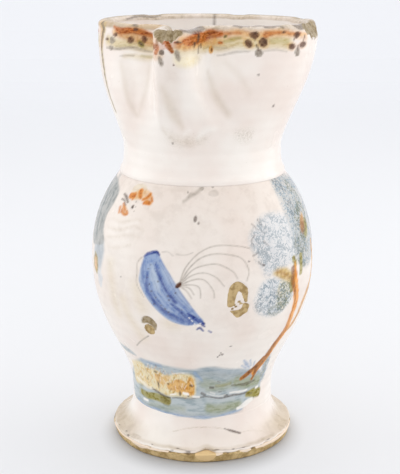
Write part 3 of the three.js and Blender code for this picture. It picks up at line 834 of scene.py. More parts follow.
POCKS = [
    ((194.5, 218), (0.9, 1.5)), ((197.9, 222.6), (0.6, 0.6)), ((212.6, 181), (0.8, 0.8)),
    ((222, 355), (0.8, 0.7)), ((217, 357), (0.5, 0.5)), ((231, 346), (0.8, 0.3)), ((263, 264.6), (0.7, 0.7)),
    ((248.6, 262), (0.4, 0.4)), ((121, 277), (0.4, 0.4)), ((220, 353.5), (0.4, 0.4)),
    ((219, 356), (0.4, 0.4)),
]
YELLOW_STAINS = [[(136, 286), (138, 294)], [(168, 323.6), (175, 325)], [(122, 300), (130, 318), (142, 336)]]
YELLOW_STAINS += [[(110, 262), (112, 288), (118, 312)], [(138, 300), (142, 310)]]
FLAKE_DEPTH = 0.55
# How much painted shade lies on the front: all over, and above that towards the shoulder and in cloudy bands
SHADE_FRONT = 0.34
SHADE_SHOULDER = 0.26
SHADE_BANDS = 0.05
SHADE_AT_STEM = 0.2
# Heights over which the painted shade grows towards the shoulder and above the stem
SHOULDER_SHADING = (105, 140)
STEM_SHADING = (50, 90)
# Degrees from the front over which a side is left lit without painted shade, and the back is shaded again
LIT_SIDE = (60, 105)
SHADED_BACK = (105, 150)

belly_canvas.stroke("clay", ARCH_FLAKE, (3.4, 4.0, 4.6, 4.8, 4.0, 2.6, 1.6), 1.0)
belly_canvas.patch("clay", ARCH_FOOT, 1.0, 0.4)
for place in ARCH_CRUMBS:
    belly_canvas.dab("clay", place, (0.7, 0.6), 0, 1.0)
belly_canvas.stroke("chip", CRESCENT_RIM, (2.0, 4.0, 4.4, 3.6, 1.8), 1.0)
belly_canvas.dab("clay", *CRESCENT_SCAR, 1.0)
belly_canvas.stroke("line", CRACK_BELOW, 0.5, 0.9)
belly_canvas.stroke("line", SMEAR, (1.8, 1.4, 2.0, 1.2, 1.0), 0.6, 0.8)
belly_canvas.dabs("line", SMEAR_SPOTS)
# Painted shade under the bead where the neck meets the belly
belly_canvas.stroke("shade", SEAM_SHADE, 5.0, 0.75, 4.0)
# Painted shade over the front, heavier towards the shoulder and lighter above the stem, left off the lit
# sides and laid again over the back
cloudy = np.sin(belly_heights / 6 + 2.5 * np.sin(np.radians(front_degrees) * 3) + 1.0)
painted_shade = SHADE_FRONT + SHADE_SHOULDER * smooth_step(belly_heights, *SHOULDER_SHADING) + SHADE_BANDS * cloudy
painted_shade = painted_shade * (SHADE_AT_STEM + (1 - SHADE_AT_STEM) * smooth_step(belly_heights, *STEM_SHADING))
shade_round = 1 - smooth_step(off_front, *LIT_SIDE) + smooth_step(off_front, *SHADED_BACK)
belly_canvas.lay("shade", painted_shade * shade_round)
belly_canvas.dabs("ink_and_shadow", POCKS, 0.75)
for line in YELLOW_STAINS:
    belly_canvas.stroke("lemon", line, 4.0, 0.3, 5.0)
bare_belly = np.maximum(belly_canvas.pigments["clay"], belly_canvas.pigments["chip"])
belly_points = belly_points - belly_out * (FLAKE_DEPTH * bare_belly * belly_shown)[..., None]
belly_coat = grid_mesh("belly_coat", belly_points, loop=True)
belly_canvas.put_into(belly_coat)
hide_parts("belly_glaze")
print("belly canvas:", len(belly_canvas.pigments), "pigments")

# %% [markdown]
# The neck carries the rim. Glaze runs over its lip, so clay and coat are one closed shell here: up the
# outside, over a rounded lip, a little way down the inside and back. Knocks have broken the lip at the
# spout and at the right, and there the rows near the lip sink and show clay.

# %% The neck as a grid
LIP_ROUND = 2.2
SKIRT = 16.0
ROW_STEP = 0.6
LIP_ROWS = 15
SKIRT_ROWS = 22
HIDDEN_ROWS = 26
# A broken place: degrees from the painted front, half width in degrees, how far in, how far down
LIP_CHIPS = [(-19.2, 8.5, 6.0, 5.6), (80.0, 18.5, 6.2, 8.2)]
neck_count = int((rim_height - LIP_ROUND - shoulder_height) / ROW_STEP)
neck_outer = np.linspace(shoulder_height, rim_height - LIP_ROUND, neck_count, endpoint=False)
neck_outer = np.insert(neck_outer, 1, shoulder_height + JOINT)
lip_turn = np.linspace(0, np.pi, LIP_ROWS)
lip_heights = rim_height - LIP_ROUND + LIP_ROUND * np.sin(lip_turn)
lip_depths = wall_and_coats / 2 * (1 - np.cos(lip_turn))
skirt_heights = np.linspace(rim_height - LIP_ROUND - ROW_STEP, rim_height - SKIRT, SKIRT_ROWS)
hidden_heights = np.linspace(rim_height - SKIRT, shoulder_height, HIDDEN_ROWS)
neck_heights = np.concatenate([neck_outer, lip_heights, skirt_heights, hidden_heights])[:, None]
neck_depths = np.concatenate(
    [
        np.zeros(len(neck_outer)),
        lip_depths,
        np.full(len(skirt_heights), wall_and_coats),
        np.full(len(hidden_heights), wall_and_coats - 2 * coat),
    ]
)[:, None]
neck_shape = (len(neck_heights), COLUMNS)
neck_rows = np.broadcast_to(np.arange(neck_shape[0])[:, None], neck_shape)
neck_outside = neck_rows < len(neck_outer) + len(lip_turn)
lip_and_skirt = neck_rows < len(neck_outer) + len(lip_turn) + len(skirt_heights)

chipped = np.zeros(neck_shape)
chip_depths, chip_heights = neck_depths + chipped, neck_heights + chipped
uneven_break = 1 + 0.10 * np.sin(1.1 * front_degrees) + 0.07 * np.sin(2.7 * front_degrees + 1)
for middle, half_width, inward, down in LIP_CHIPS:
    broken = uneven_break * bell(front_degrees - middle, half_width, 4) + 1e-6
    short = 1 - neck_depths / (inward * broken) - (rim_height - neck_heights) / (down * broken)
    short = np.clip(short, 0, 1) / 2 * neck_outside
    chip_depths = chip_depths + short * inward * broken
    chip_heights = chip_heights - short * down * broken
    chipped = np.maximum(chipped, smooth_step(short * broken, 0.01, 0.06))
neck_points = wall_points(angles[None, :], chip_heights, chip_depths)
print("neck grid", neck_shape, "with", len(LIP_CHIPS), "chips")

# %% [markdown]
# Shallow knocks nibble the rest of the lip. Below it, thumbs left a trough under the spout with a ridge
# on each side. A knock is a bell curve round the lip, and a trough is a bell curve across a line drawn on
# the neck. Sculpting by hand would do the same, but the numbers are easier to correct.

# %% Knocks, troughs and ridges
# Degrees from the painted front, half width in degrees, depth
LIP_KNOCKS = [(-4.0, 4.5, 0.8), (27.0, 5.0, 0.5), (42.0, 6.0, 0.5), (60.0, 6.0, 0.4)]
LIP_KNOCKS += [(-60.0, 7.0, 0.4), (112.0, 6.0, 0.5), (160.0, 5.0, 0.5), (-150.0, 5.0, 0.5)]
# Line in the picture, half width and depth in millimetres, where a ridge has a depth below zero
THUMB_LINES = [
    ([(129, 66), (133, 90), (135, 115)], 4.5, 0.8),
    ([(157, 54), (158, 85), (160, 122)], 2.6, -0.8),
    ([(171, 64), (175, 95), (182, 126)], 5.0, 1.2),
    ([(188, 64), (195, 92), (204, 114), (211, 126)], 3.6, -1.0),
    ([(212, 82), (220, 102), (228, 116)], 5.0, 0.9),
]
# How far below the rim a knock starts to be felt, and is felt in full
KNOCK_REACH = 8.0
KNOCK_FULL = 1.0
THUMB_FADE = 6.0
knock = np.zeros((1, COLUMNS))
for middle, half_width, depth in LIP_KNOCKS:
    knock = np.maximum(knock, depth * bell(front_degrees - middle, half_width, 4))
lowered = knock * smooth_step(neck_heights, rim_height - KNOCK_REACH, rim_height - KNOCK_FULL) * lip_and_skirt
neck_points = neck_points - lowered[..., None] * np.array([0.0, 0.0, 1.0])
neck_canvas = Canvas(neck_points, round_front * UNROLL_RADIUS, neck_heights, neck_outside)
pressed_in = -hand_wobble(angles[None, :], neck_heights)
for line, half_width, depth in THUMB_LINES:
    from_line = neck_canvas.depth_in_stroke([neck_canvas.at(pixel) for pixel in line], 0.0)
    pressed_in = pressed_in + depth * bell(from_line, half_width)
above_shoulder = smooth_step(neck_heights, shoulder_height, shoulder_height + THUMB_FADE)
pressed_in = pressed_in * neck_outside * above_shoulder
neck_points = neck_points - face_normals(neck_points) * pressed_in[..., None]
print(len(LIP_KNOCKS), "knocks and", len(THUMB_LINES), "thumb lines")

# %% [markdown]
# A border runs round the rim: an orange band, a yellow wash, a grey line, and flowers of three dabs
# with a teardrop. On the front the dabs sit where the photograph has them. Behind, where it shows
# nothing, the same flower repeats, since a painter carries such a border right round.

# %% The rim's border
RUST_BANDS = [
    ([(113.6, 27), (118, 29.4), (127, 30.4), (134, 30.6)], (1.4, 3.2, 3.8, 2.6), 1.0),
    ([(134, 30.8), (142.4, 32.4), (148.6, 34), (152.4, 35.4)], (3.2, 3.2, 2.6, 2.0), 1.0),
    (
        [(184.6, 41.4), (189, 40.4), (197.5, 37.8), (204, 36.8), (211, 34.8), (222, 33.2)],
        (2.4, 4.6, 6.8, 5.4, 4.4, 2.6), 1.0,
    ),
    ([(222, 33), (231, 32.8), (242, 33.8)], (2.0, 1.4, 1.2), 0.65),
    ([(266.6, 34), (271, 33.6), (281.5, 33.2), (291, 33.2), (300, 33.6)], (3.4, 2.4, 1.2, 1.2, 1.6), 0.8),
]
RUST_EDGES = [
    ([(135, 29.4), (141, 30.6), (151.6, 33.6)], (1.6, 0.8, 0.8)),
    ([(204, 35.4), (210, 33.6), (218, 32.4)], (0.8, 1.2, 0.6)),
    ([(120, 32.6), (130, 33.6), (138, 34.4)], (0.5, 0.9, 0.5)),
    ([(188, 42.4), (194, 42), (202, 41)], (0.4, 0.8, 0.5)),
    ([(190, 38), (195, 37), (200, 36.4)], (0.5, 1.3, 0.5)),
    ([(206, 38.4), (211, 37), (217, 35.4)], (0.4, 1.0, 0.4)),
    ([(117, 29), (123, 30.6), (128, 30.8)], (0.4, 0.8, 0.4)),
    ([(140, 34.2), (147, 35.6)], (0.4, 1.0, 0.4)),
    ([(156.2, 40), (155.6, 46), (156.4, 51)], (1.0, 2.0, 1.4)),
    ([(168, 44), (170.4, 48.6), (172.2, 52)], (0.8, 1.7, 1.4)),
    ([(161, 41.4), (163, 44.4)], (1.4, 0.8)),
    ([(203, 38), (204, 41.4)], (1.4, 0.6)),
]
BROWN_WASHES = [
    ([(114, 32), (127, 34.4), (140, 36.4), (152, 39.4)], (3.0, 6.0, 7.0, 6.0), 0.8),
    (
        [(222, 33.6), (240, 34), (256, 34), (270, 34), (290, 33.8), (306, 35)],
        (2.6, 3.4, 3.4, 4.0, 3.0, 2.6), 0.8,
    ),
    ([(240, 35), (246, 38)], 3.0, 0.55),
    ([(214, 42), (221, 40.6)], 3.0, 0.6),
    ([(184, 42), (196, 41), (212, 38)], 7.0, 0.75),
    ([(298, 35), (306, 38)], 3.0, 0.5),
    ([(155, 40), (156, 47), (157.6, 54)], 6.0, 0.4),
    ([(216, 36), (228, 35.6), (246, 36.4)], 4.0, 0.5),
]
YELLOW_WASHES = [
    ([(108, 41), (130, 44.4), (152, 47.6)], 5.0, 0.8),
    ([(125, 56), (138, 56.4), (152, 58)], (1.2, 2.0, 2.4), 0.6),
    ([(178, 50), (190, 50), (204, 47)], 6.0, 0.6),
    ([(181, 59), (187, 58.6), (196, 57)], 6.0, 0.4),
    ([(205, 46), (222, 43.5), (245, 42.5), (270, 42), (288, 42)], (7.0, 6.0, 6.0, 6.0), 0.85),
]
LEFT_BROWN = [(119, 34), (128, 36), (140, 37.6), (152, 40)]
SPOUT_YELLOW = [(179, 61), (186, 61), (192, 59)]
OLIVE_STREAKS = [
    ([(224, 40.4), (232, 39.4), (241, 38.6)], (1.2, 2.2, 1.2), 0.55),
    ([(271, 42), (288, 41.4)], 2.0, 0.35),
    ([(141, 55.6), (152, 57)], 1.2, 0.45),
    ([(116, 45), (130, 46)], 1.0, 0.3),
]
GREY_LINES = [
    ([(106, 47.6), (120, 48.6), (137, 49), (152, 52.4)], (0.8, 1.4, 1.4, 0.8), 0.6),
    ([(120, 55.6), (134, 56)], 0.8, 0.35),
    ([(217, 54.8), (235.6, 53), (249, 51.6)], (0.6, 1.4, 0.8), 0.45),
    ([(262, 50.8), (274, 51), (287, 52)], 0.9, 0.35),
    ([(212, 48), (226, 47)], 1.2, 0.3),
]
SPOUT_STROKES = [
    ([(166.6, 42.6), (169, 47), (172, 52.2)], (2.8, 3.0, 2.0), 1.0),
    ([(156.4, 39.4), (155.8, 46), (157, 52)], (1.6, 2.8, 2.2), 0.85),
    ([(161.5, 41.5), (163.5, 44)], 1.6, 0.8),
    ([(174, 43), (181, 43.4)], (1.2, 2.0, 1.2), 0.9),
    ([(158, 46), (164, 48)], 2.4, 0.4),
    ([(172, 45.6), (178, 46.4)], 2.6, 0.5),
]
DRIPS = [
    ([(198.2, 32.8), (197.8, 38), (197, 42.6)], (1.0, 1.6, 0.8)),
    ([(199, 45.4), (198.8, 53.6)], (0.6, 1.3, 0.5)),
    ([(200.8, 44), (201, 48)], 0.7),
    ([(194.4, 43), (194.6, 46.6)], (1.4, 0.8)),
]
# Pigment, place, half sizes, tilt
BORDER_DABS = [
    ("manganese", (144.7, 38.2), (1.9, 1.7), 0),
    ("manganese", (130.2, 40), (2.1, 1.7), 0),
    ("olive", (139.8, 44), (2.4, 1.5), -25),
    ("ink_and_shadow", (140.2, 44), (1.7, 0.9), -25),
    ("manganese", (115.6, 34.6), (1.6, 1.0), 20),
    ("manganese", (106.6, 40), (1.4, 0.8), 0),
    ("line", (112.4, 40), (2.2, 1.8), 0),
    ("line", (111.5, 48), (2.0, 1.2), 0),
    ("ink_and_shadow", (136.2, 29.6), (1.5, 0.9), 0),
    ("ink_and_shadow", (162.3, 53.3), (1.2, 1.4), 0),
    ("line", (160.4, 62), (1.0, 2.6), 8),
    ("line", (178.2, 56), (1.2, 2.8), 8),
    ("manganese", (173, 66), (0.6, 0.5), 0),
    ("amber", (211.3, 50.4), (1.7, 1.9), 0),
    ("umber", (211.6, 50.6), (0.8, 1.0), 0),
    ("olive", (225.4, 35.4), (1.4, 0.8), 15),
    ("ink_and_shadow", (225.4, 35.6), (0.9, 0.5), 15),
    ("rust", (219.4, 41.6), (1.6, 0.8), 0),
    ("ink_and_shadow", (283, 33), (1.0, 0.6), 0),
    ("ink_and_shadow", (177.6, 42.6), (1.4, 0.6), 0),
]
# Petals at the top, the left and the right, then the teardrop below
FLOWERS = [
    [
        ((254.7, 34.2), (2.5, 1.8)), ((248.6, 43.4), (2.0, 1.9)), ((263.1, 41.8), (2.3, 2.3)),
        ((257.8, 52.2), (2.0, 2.0)),
    ],
    [
        ((296.6, 34.6), (2.0, 1.7)), ((291.8, 45.6), (2.2, 1.5)), ((303.3, 44.8), (2.6, 1.5)),
        ((298, 52), (2.0, 2.2)),
    ],
]
FLOWER_STEMS = [
    [(254.7, 36), (255.2, 40)], [(256.6, 44.4), (257.6, 50)], [(297.4, 45), (298, 50)],
    [(304.5, 36.3), (303.6, 42)], [(295, 37), (294.4, 39.4)],
]
# A petal's dark heart and pale halo, as shares of its size
PETAL_HEART = 0.6
PETAL_HEART_SHIFT = np.array([0.6, 0.8])
PETAL_HALO = 1.5
# Flowers behind: degrees from the front, then the parts of one in millimetres from its middle
REPEATED_FLOWERS = [112, 140, 168, -164, -136, -108]
PETAL = (2.3, 2.1)
PETAL_SHIFTS = [(0, 1.6), (-3.9, -2.8), (3.9, -2.8)]
TEARDROP = (2.0, 2.3)
TEARDROP_SHIFT = (0.3, -7.8)
# Degrees on each side between which lines run behind
BACK_START, BACK_END = 92, 178
# Pigment of a line behind, its shift from the petals, its width, its strength
LINES_BEHIND = [("rust", 2.6, 1.6, 0.8), ("lemon", -2.0, 7.0, 0.8), ("line", -8.0, 0.9, 0.5)]

neck_canvas.strokes("rust", RUST_BANDS, 0.8)
for line, width in RUST_EDGES:
    neck_canvas.stroke("umber", line, width, 0.7, 0.5)
neck_canvas.strokes("amber", BROWN_WASHES, 1.4)
neck_canvas.strokes("lemon", YELLOW_WASHES, 2.0)
neck_canvas.stroke("umber", LEFT_BROWN, (2.0, 5.0, 6.0, 5.0), 0.3, 1.6)
neck_canvas.stroke("straw_pale", SPOUT_YELLOW, 5.0, 0.75, 2.0)
neck_canvas.strokes("olive", OLIVE_STREAKS, 0.7)
neck_canvas.strokes("line", GREY_LINES)
neck_canvas.strokes("rust", SPOUT_STROKES)
for line, width in DRIPS:
    neck_canvas.stroke("ink_and_shadow", line, width, 0.85)
for pigment, place, size, tilt in BORDER_DABS:
    neck_canvas.dab(pigment, place, size, tilt, 0.9)
for *petals, (teardrop, teardrop_size) in FLOWERS:
    for petal, size in petals:
        neck_canvas.dab("manganese", petal, size, 0, 0.95)
        neck_canvas.dab("ink_and_shadow", petal + PETAL_HEART_SHIFT, np.array(size) * PETAL_HEART, 0, 0.3)
        neck_canvas.dab("amber", petal, np.array(size) * PETAL_HALO, 0, 0.3)
    neck_canvas.dab("line", teardrop, teardrop_size, 0, 0.9)
for line in FLOWER_STEMS:
    neck_canvas.stroke("manganese", line, (1.0, 0.7), 0.8)
border_height = neck_canvas.at(FLOWERS[0][1][0])[1]
for degrees in REPEATED_FLOWERS:
    middle = np.array([np.radians(degrees) * UNROLL_RADIUS, border_height])
    for shift in PETAL_SHIFTS:
        neck_canvas.dab_on("manganese", middle + shift, PETAL, 0, 0.9)
    neck_canvas.dab_on("line", middle + TEARDROP_SHIFT, TEARDROP, 0, 0.9)
for side in (1, -1):
    across_back = np.radians(np.linspace(side * BACK_START, side * BACK_END, 5)) * UNROLL_RADIUS
    for pigment, shift, width, strength in LINES_BEHIND:
        line_behind = np.stack([across_back, np.full(5, border_height + shift)], axis=-1)
        neck_canvas.stroke_on(pigment, line_behind, width, strength)
print("border at height", round(float(border_height), 1))

# %% [markdown]
# Wear on the neck is small but tells its age: a brown crack down the left edge, clay at the broken lip,
# and pocks where bubbles burst in the kiln. Painted shade lies in the troughs and on the lip, painted
# highlights on the ridges.

# %% Wear of the neck, painted shade and highlights
LEFT_CRACK = [(104.6, 21), (103, 28), (102, 37), (101.6, 51), (103.5, 66), (106.8, 83), (111, 98), (116, 112)]
LEFT_STAIN = [(102, 21), (101, 30), (101, 42)]
# Painted shade in and beside the thumb troughs with some grime and dirt; the white strokes are painted
# highlights on the spout's ridge and the arcs below it, and one pale dab by the rim
TROUGH_SHADES_AND_HIGHLIGHTS = [
    ("shade", [(171, 68), (175, 95), (181, 124)], (8.0, 6.0, 2.0), 0.35),
    ("shade", [(128, 74), (132, 98), (135, 116)], (9.0, 6.0, 1.5), 0.22),
    ("grime_and_shade", [(163, 88), (168, 103), (174, 116), (182, 129)], (2.0, 5.0, 5.0, 2.0), 0.4),
    ("grime_and_shade", [(208, 72), (211, 84), (217, 98), (228, 115)], (1.0, 2.4, 4.0, 3.0), 0.4),
    ("grime_and_shade", [(120, 62), (124, 85), (130, 104), (136, 116)], (1.0, 2.4, 2.4, 1.4), 0.3),
    ("grime_and_shade", [(150, 66), (147, 85), (142, 104), (137, 116)], (1.0, 2.0, 2.0, 1.4), 0.25),
    ("dirt", [(164, 131), (176, 140), (190, 143), (204, 138)], (3.0, 4.0, 5.0, 2.0), 0.3),
    ("grime_and_shade", [(226, 62), (240, 78), (248, 92)], (2.0, 4.0, 3.0), 0.16),
    ("white", [(152.6, 62), (153.4, 84), (155, 112)], (1.6, 2.2, 1.6), 0.9),
    ("white", [(197, 139), (203, 132.4), (210, 129), (215, 128.6)], (0.8, 2.4, 2.4, 1.0), 0.7),
    ("white", [(184, 134), (190, 131)], (0.8, 1.6, 0.8), 0.5),
    ("white", [(207, 41.4), (211, 40.4)], (1.4, 2.2), 0.15),
]
LIP_MARKS = [
    ([(234.8, 24), (241, 27), (244, 25), (249, 24.4)], (0.8, 2.2, 1.2, 1.0)),
    ([(252, 23.8), (262, 23.6)], 0.6),
    ([(263, 24.4), (270, 24), (276, 24.6)], (1.6, 2.2, 1.2)),
    ([(276, 24.6), (280, 27), (283.4, 28.4)], (0.8, 0.6, 1.2)),
    ([(181.5, 28.6), (189, 28), (197, 27.4)], (2.4, 3.4, 2.0)),
    ([(292, 24.6), (300, 26), (306, 27.4)], (1.6, 3.0, 2.4)),
    ([(134, 25.6), (138, 26.6)], (1.6, 1.0)),
    ([(126, 18.6), (140, 17.2), (160, 16)], (0.6, 1.4, 0.8)),
]
CHIP_EDGE = [(306, 28.6), (307.4, 33), (311, 37.4), (313.4, 38.6), (316.4, 33.6), (318, 28), (317, 24.6)]
NECK_POCKS = [((274, 105.6), (0.8, 0.8)), ((259.5, 74.8), (0.6, 0.5)), ((172.5, 143.5), (0.7, 0.5))]
SPECKLED = [
    ([(236, 131), (246, 129), (253, 132), (252, 140), (245, 142), (237, 139)], 0.4),
    ([(165, 139), (176, 136), (194, 137), (206, 131), (211, 133), (206, 141), (188, 147), (172, 146)], 0.2),
]
# Degrees from the front of the crack inside the far lip, and its half width
INNER_CRACK = 173.5
CRACK_HALF_WIDTH = 0.6
NECK_BACK_SHADE = 0.4
# Degrees from the front over which the far lip begins
FAR_LIP = (95, 110)
LEFT_LIP_START = (28, 45)
LEFT_LIP_END = (-115, -95)

neck_canvas.lay("chip", chipped)
for line, width in LIP_MARKS:
    neck_canvas.stroke("ink_and_shadow", line, width, 0.7)
neck_canvas.stroke("ink_and_shadow", CHIP_EDGE, 0.5, 0.5)
on_lip = neck_rows >= len(neck_outer)
worn = 0.45 + 0.3 * np.sin(7 * round_front + 1) + 0.25 * np.sin(17 * round_front)
far_side = smooth_step(off_front, *FAR_LIP)
inner_lip = smooth_step(neck_depths, 3.6, 5.0) * on_lip * (1 - far_side)
neck_canvas.lay("chip", 0.7 * inner_lip * np.clip(worn, 0, 1))
# Painted shade and some dirt along the top of the lip, and painted shade over the back of the neck
lip_band = smooth_step(neck_heights, rim_height - 3.4, rim_height - 1.8) * neck_outside
neck_canvas.lay("shade", 0.9 * lip_band)
neck_canvas.lay("shade", NECK_BACK_SHADE * smooth_step(off_front, *SHADED_BACK))
neck_canvas.lay("dirt", 0.75 * lip_band * np.clip(worn + 0.3, 0, 1))
# Grime and painted shade on the lip at the left, with a thin amber stain
left_lip = lip_band * smooth_step(-front_degrees, *LEFT_LIP_START) * smooth_step(front_degrees, *LEFT_LIP_END)
neck_canvas.lay("grime_and_shade", left_lip)
neck_canvas.lay("amber", 0.25 * left_lip * np.clip(worn + 0.2, 0, 1))
outer_lip = smooth_step(-neck_depths, -5.6, -4.4) * on_lip * far_side
neck_canvas.lay("chip", 0.85 * outer_lip * np.clip(worn + 0.5, 0, 1))
neck_canvas.stroke("amber", LEFT_STAIN, 6.0, 0.4, 1.5)
neck_canvas.stroke("lemon", LEFT_CRACK, (5.0, 5.0, 4.0, 3.0, 2.0, 1.6, 1.2), 0.85, 1.2)
neck_canvas.stroke("ink_and_shadow", LEFT_CRACK, (2.4, 2.6, 2.4, 1.8, 1.4, 1.2, 1.0), 0.7)
for pigment, line, width, strength in TROUGH_SHADES_AND_HIGHLIGHTS:
    neck_canvas.stroke(pigment, line, width, strength, 2.5)
neck_canvas.dabs("ink_and_shadow", NECK_POCKS, 0.7)
for area, strength in SPECKLED:
    neck_canvas.patch("speckle", area, strength, 3.0)
inner_crack = bell(front_degrees - INNER_CRACK, CRACK_HALF_WIDTH) * on_lip * lip_and_skirt
neck_canvas.pigments["ink_and_shadow"] = np.maximum(neck_canvas.pigments["ink_and_shadow"], 0.6 * inner_crack)
neck = grid_mesh("neck_and_coat", neck_points, loop=True)
neck_canvas.put_into(neck)
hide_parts("neck", "neck_glaze")
print("neck canvas:", len(neck_canvas.pigments), "pigments")

# %% [markdown]
# Inside, one coat of glaze was poured in and swilled round. It is a closed bag with two faces, from just
# under the lip's skirt down to the floor, where both faces end in a pole on the axis.

# %% The lining
LINING_GAP = 0.2
FLOOR_RISE = 2.0
FLOOR_CURL = 1.6
LINING_ROWS = 90
FLOOR_ROWS = 10
inside_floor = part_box("inside_glaze")[0].z / MM
lining_top = rim_height - SKIRT - LINING_GAP
lining_heights = np.linspace(inside_floor + FLOOR_RISE, lining_top, LINING_ROWS)
lining_depth = wall_and_coats - coat
floor_share = np.linspace(0.06, 0.97, FLOOR_ROWS)
floor_radius = thrown_radius(inside_floor + FLOOR_RISE) - lining_depth


def turned(profile):
    """A profile of radius and height carried round every column."""
    radius, height = profile[..., 0], profile[..., 1]
    return np.stack(np.broadcast_arrays(radius * np.sin(angles), -radius * np.cos(angles), height), axis=-1)


def lining_face(depth, lift):
    """One face of the lining: rings out over the floor, which curls up as a sixth power, then up the wall."""
    ring = floor_radius * floor_share[:, None]
    rise = inside_floor + lift + FLOOR_CURL * floor_share[:, None] ** 6
    floor_points = turned(np.stack([ring, rise], axis=-1))
    return np.concatenate([floor_points, wall_points(angles[None, :], lining_heights[:, None] + lift, depth)])


lining_points = np.concatenate([lining_face(lining_depth, 0.0), lining_face(wall_and_coats, coat)[::-1]])
floor_poles = (np.array([[0, 0, inside_floor]]), np.array([[0, 0, inside_floor + coat]]))
lining = grid_mesh("lining", lining_points, poles=floor_poles)
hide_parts("inside_glaze")
print("lining grid", lining_points.shape[:2])

# %% [markdown]
# The foot is a turned disc of bare clay under a concave flare. A spin of a drawn profile would make it as
# well. Here a Bezier curve is the flare, because the coat over it follows the same curve at its own depth.

# %% The foot's clay
FLARE_IN = 6.0
FLARE_UP = 9.0
FLARE_START = 0.06
FLARE_ROWS = 24
SIDE_ROWS = 7
EDGE_SETBACK = 0.9
COAT_SEAT = 1.0
# Worn corners of the disc: millimetres out and up from the base's radius and from the edge
BASE_CORNER = [(-1.0, 0.0), (-0.2, 0.35), (0.2, 1.2), (0.4, 2.0)]
EDGE_CORNER = [(0.0, -0.5), (-0.15, 0.0), (-0.7, 0.1)]
SCRAPE = 0.25
SCRAPED_ABOVE_EDGE = 0.3
flare_corners = [
    (foot_edge_radius, foot_edge_height),
    (foot_edge_radius - FLARE_IN, foot_edge_height),
    (stem_radius, base_top - FLARE_UP),
    (stem_radius, base_top),
]


def flare_layer(t, depth):
    """Points of the flare, moved in square to its own line by the depth."""
    place = bezier(flare_corners, t)
    step = bezier(flare_corners, np.clip(t + 0.01, 0, 1)) - bezier(flare_corners, np.clip(t - 0.01, 0, 1))
    step = step / np.linalg.norm(step, axis=-1, keepdims=True)
    return place + np.asarray(depth)[..., None] * np.stack([-step[..., 1], step[..., 0]], axis=-1)


edge_top = foot_edge_height - EDGE_SETBACK
clay_low = np.array(BASE_CORNER) + (base_radius, 0.0)
clay_edge = np.array(EDGE_CORNER) + (foot_edge_radius, edge_top)
clay_side = np.linspace(clay_low[-1], clay_edge[0], SIDE_ROWS)
clay_flare = flare_layer(np.linspace(FLARE_START, 1, FLARE_ROWS), COAT_SEAT)
clay_profile = np.concatenate([clay_low[:-1], clay_side, clay_edge[1:], clay_flare])
foot_points = turned(clay_profile[:, None, :])
below_edge = (clay_profile[:, 1] < edge_top + SCRAPED_ABOVE_EDGE)[:, None]
scraped = SCRAPE * np.sin(7 * angles + 1) * np.sin(3 * angles) * below_edge
foot_points[..., :2] *= (1 + scraped / base_radius)[..., None]
foot = grid_mesh("foot_clay", foot_points, poles=(np.array([[0, 0, 0]]), np.array([[0, 0, base_top]])))
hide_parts("foot")
print("foot grid", foot_points.shape[:2])

# %% [markdown]
# Before the firing the potter wiped the foot, so the glaze ends in a ragged line above bare clay. Drops of
# it ran over and stuck, soil and a painted shadow darken the clay under the edge, and a knock left a pale
# scar. These are marks on a canvas too, only on the clay's own grid.

# %% The scar and the runs of glaze
# How far below the edge's top the soil and painted shadow begin, and are full
SOIL_SHADOW_REACH = 1.6
SOIL_SHADOW_FULL = 0.2
# Place, half sizes, tilt, strength
FOOT_SCARS = [((206.2, 455.6), (5.3, 3.5), 0, 1.0), ((176, 455), (3.0, 1.0), 0, 0.4)]
# Glaze that ran over the edge and stuck to the clay: line in the picture, width
GLAZE_RUNS = [
    ([(115.6, 422), (119, 427.6), (125, 435.2), (133, 440.8)], (1.4, 2.4, 2.0, 2.0)),
    ([(132, 441), (138, 444.2), (147, 447)], (2.0, 3.2, 1.2)),
    ([(148, 447.6), (158, 450.2), (168, 451.8)], (1.0, 1.2, 0.5)),
    ([(215, 453.6), (218.4, 453.6), (222, 453.2)], (0.6, 1.8, 0.6)),
    ([(240, 450.4), (246, 449.6), (250, 448.6)], (0.6, 2.2, 0.8)),
    ([(255, 446.8), (262, 444.4), (270, 440.4)], (1.4, 3.4, 2.8)),
    ([(270, 440.4), (279, 434.4), (286, 427.2), (289.4, 420.6)], (2.8, 2.6, 2.2, 1.2)),
]
edge_canvas = Canvas(
    foot_points, round_front * base_radius, foot_points[..., 2], np.ones(foot_points.shape[:2], bool)
)
for scar in FOOT_SCARS:
    edge_canvas.dab("scar", *scar)
for line, width in GLAZE_RUNS:
    edge_canvas.stroke("remains", line, width, 1.0, 0.5)
# Soil and a painted shadow on the clay just under the glaze's edge
edge_canvas.lay("soil_and_shadow", smooth_step(foot_points[..., 2], edge_top - SOIL_SHADOW_REACH, edge_top - SOIL_SHADOW_FULL))
edge_canvas.put_into(foot)
scar_degrees = float(np.degrees(edge_canvas.at(FOOT_SCARS[0][0])[0] / base_radius))
print("scar at", round(scar_degrees, 1), "degrees from the front")

# %% [markdown]
# The coat of the foot is a thin shell on the flare. Its last ring moves in and out with the angle: sines
# make it ragged, and bell curves bite into it, deepest above the scar.

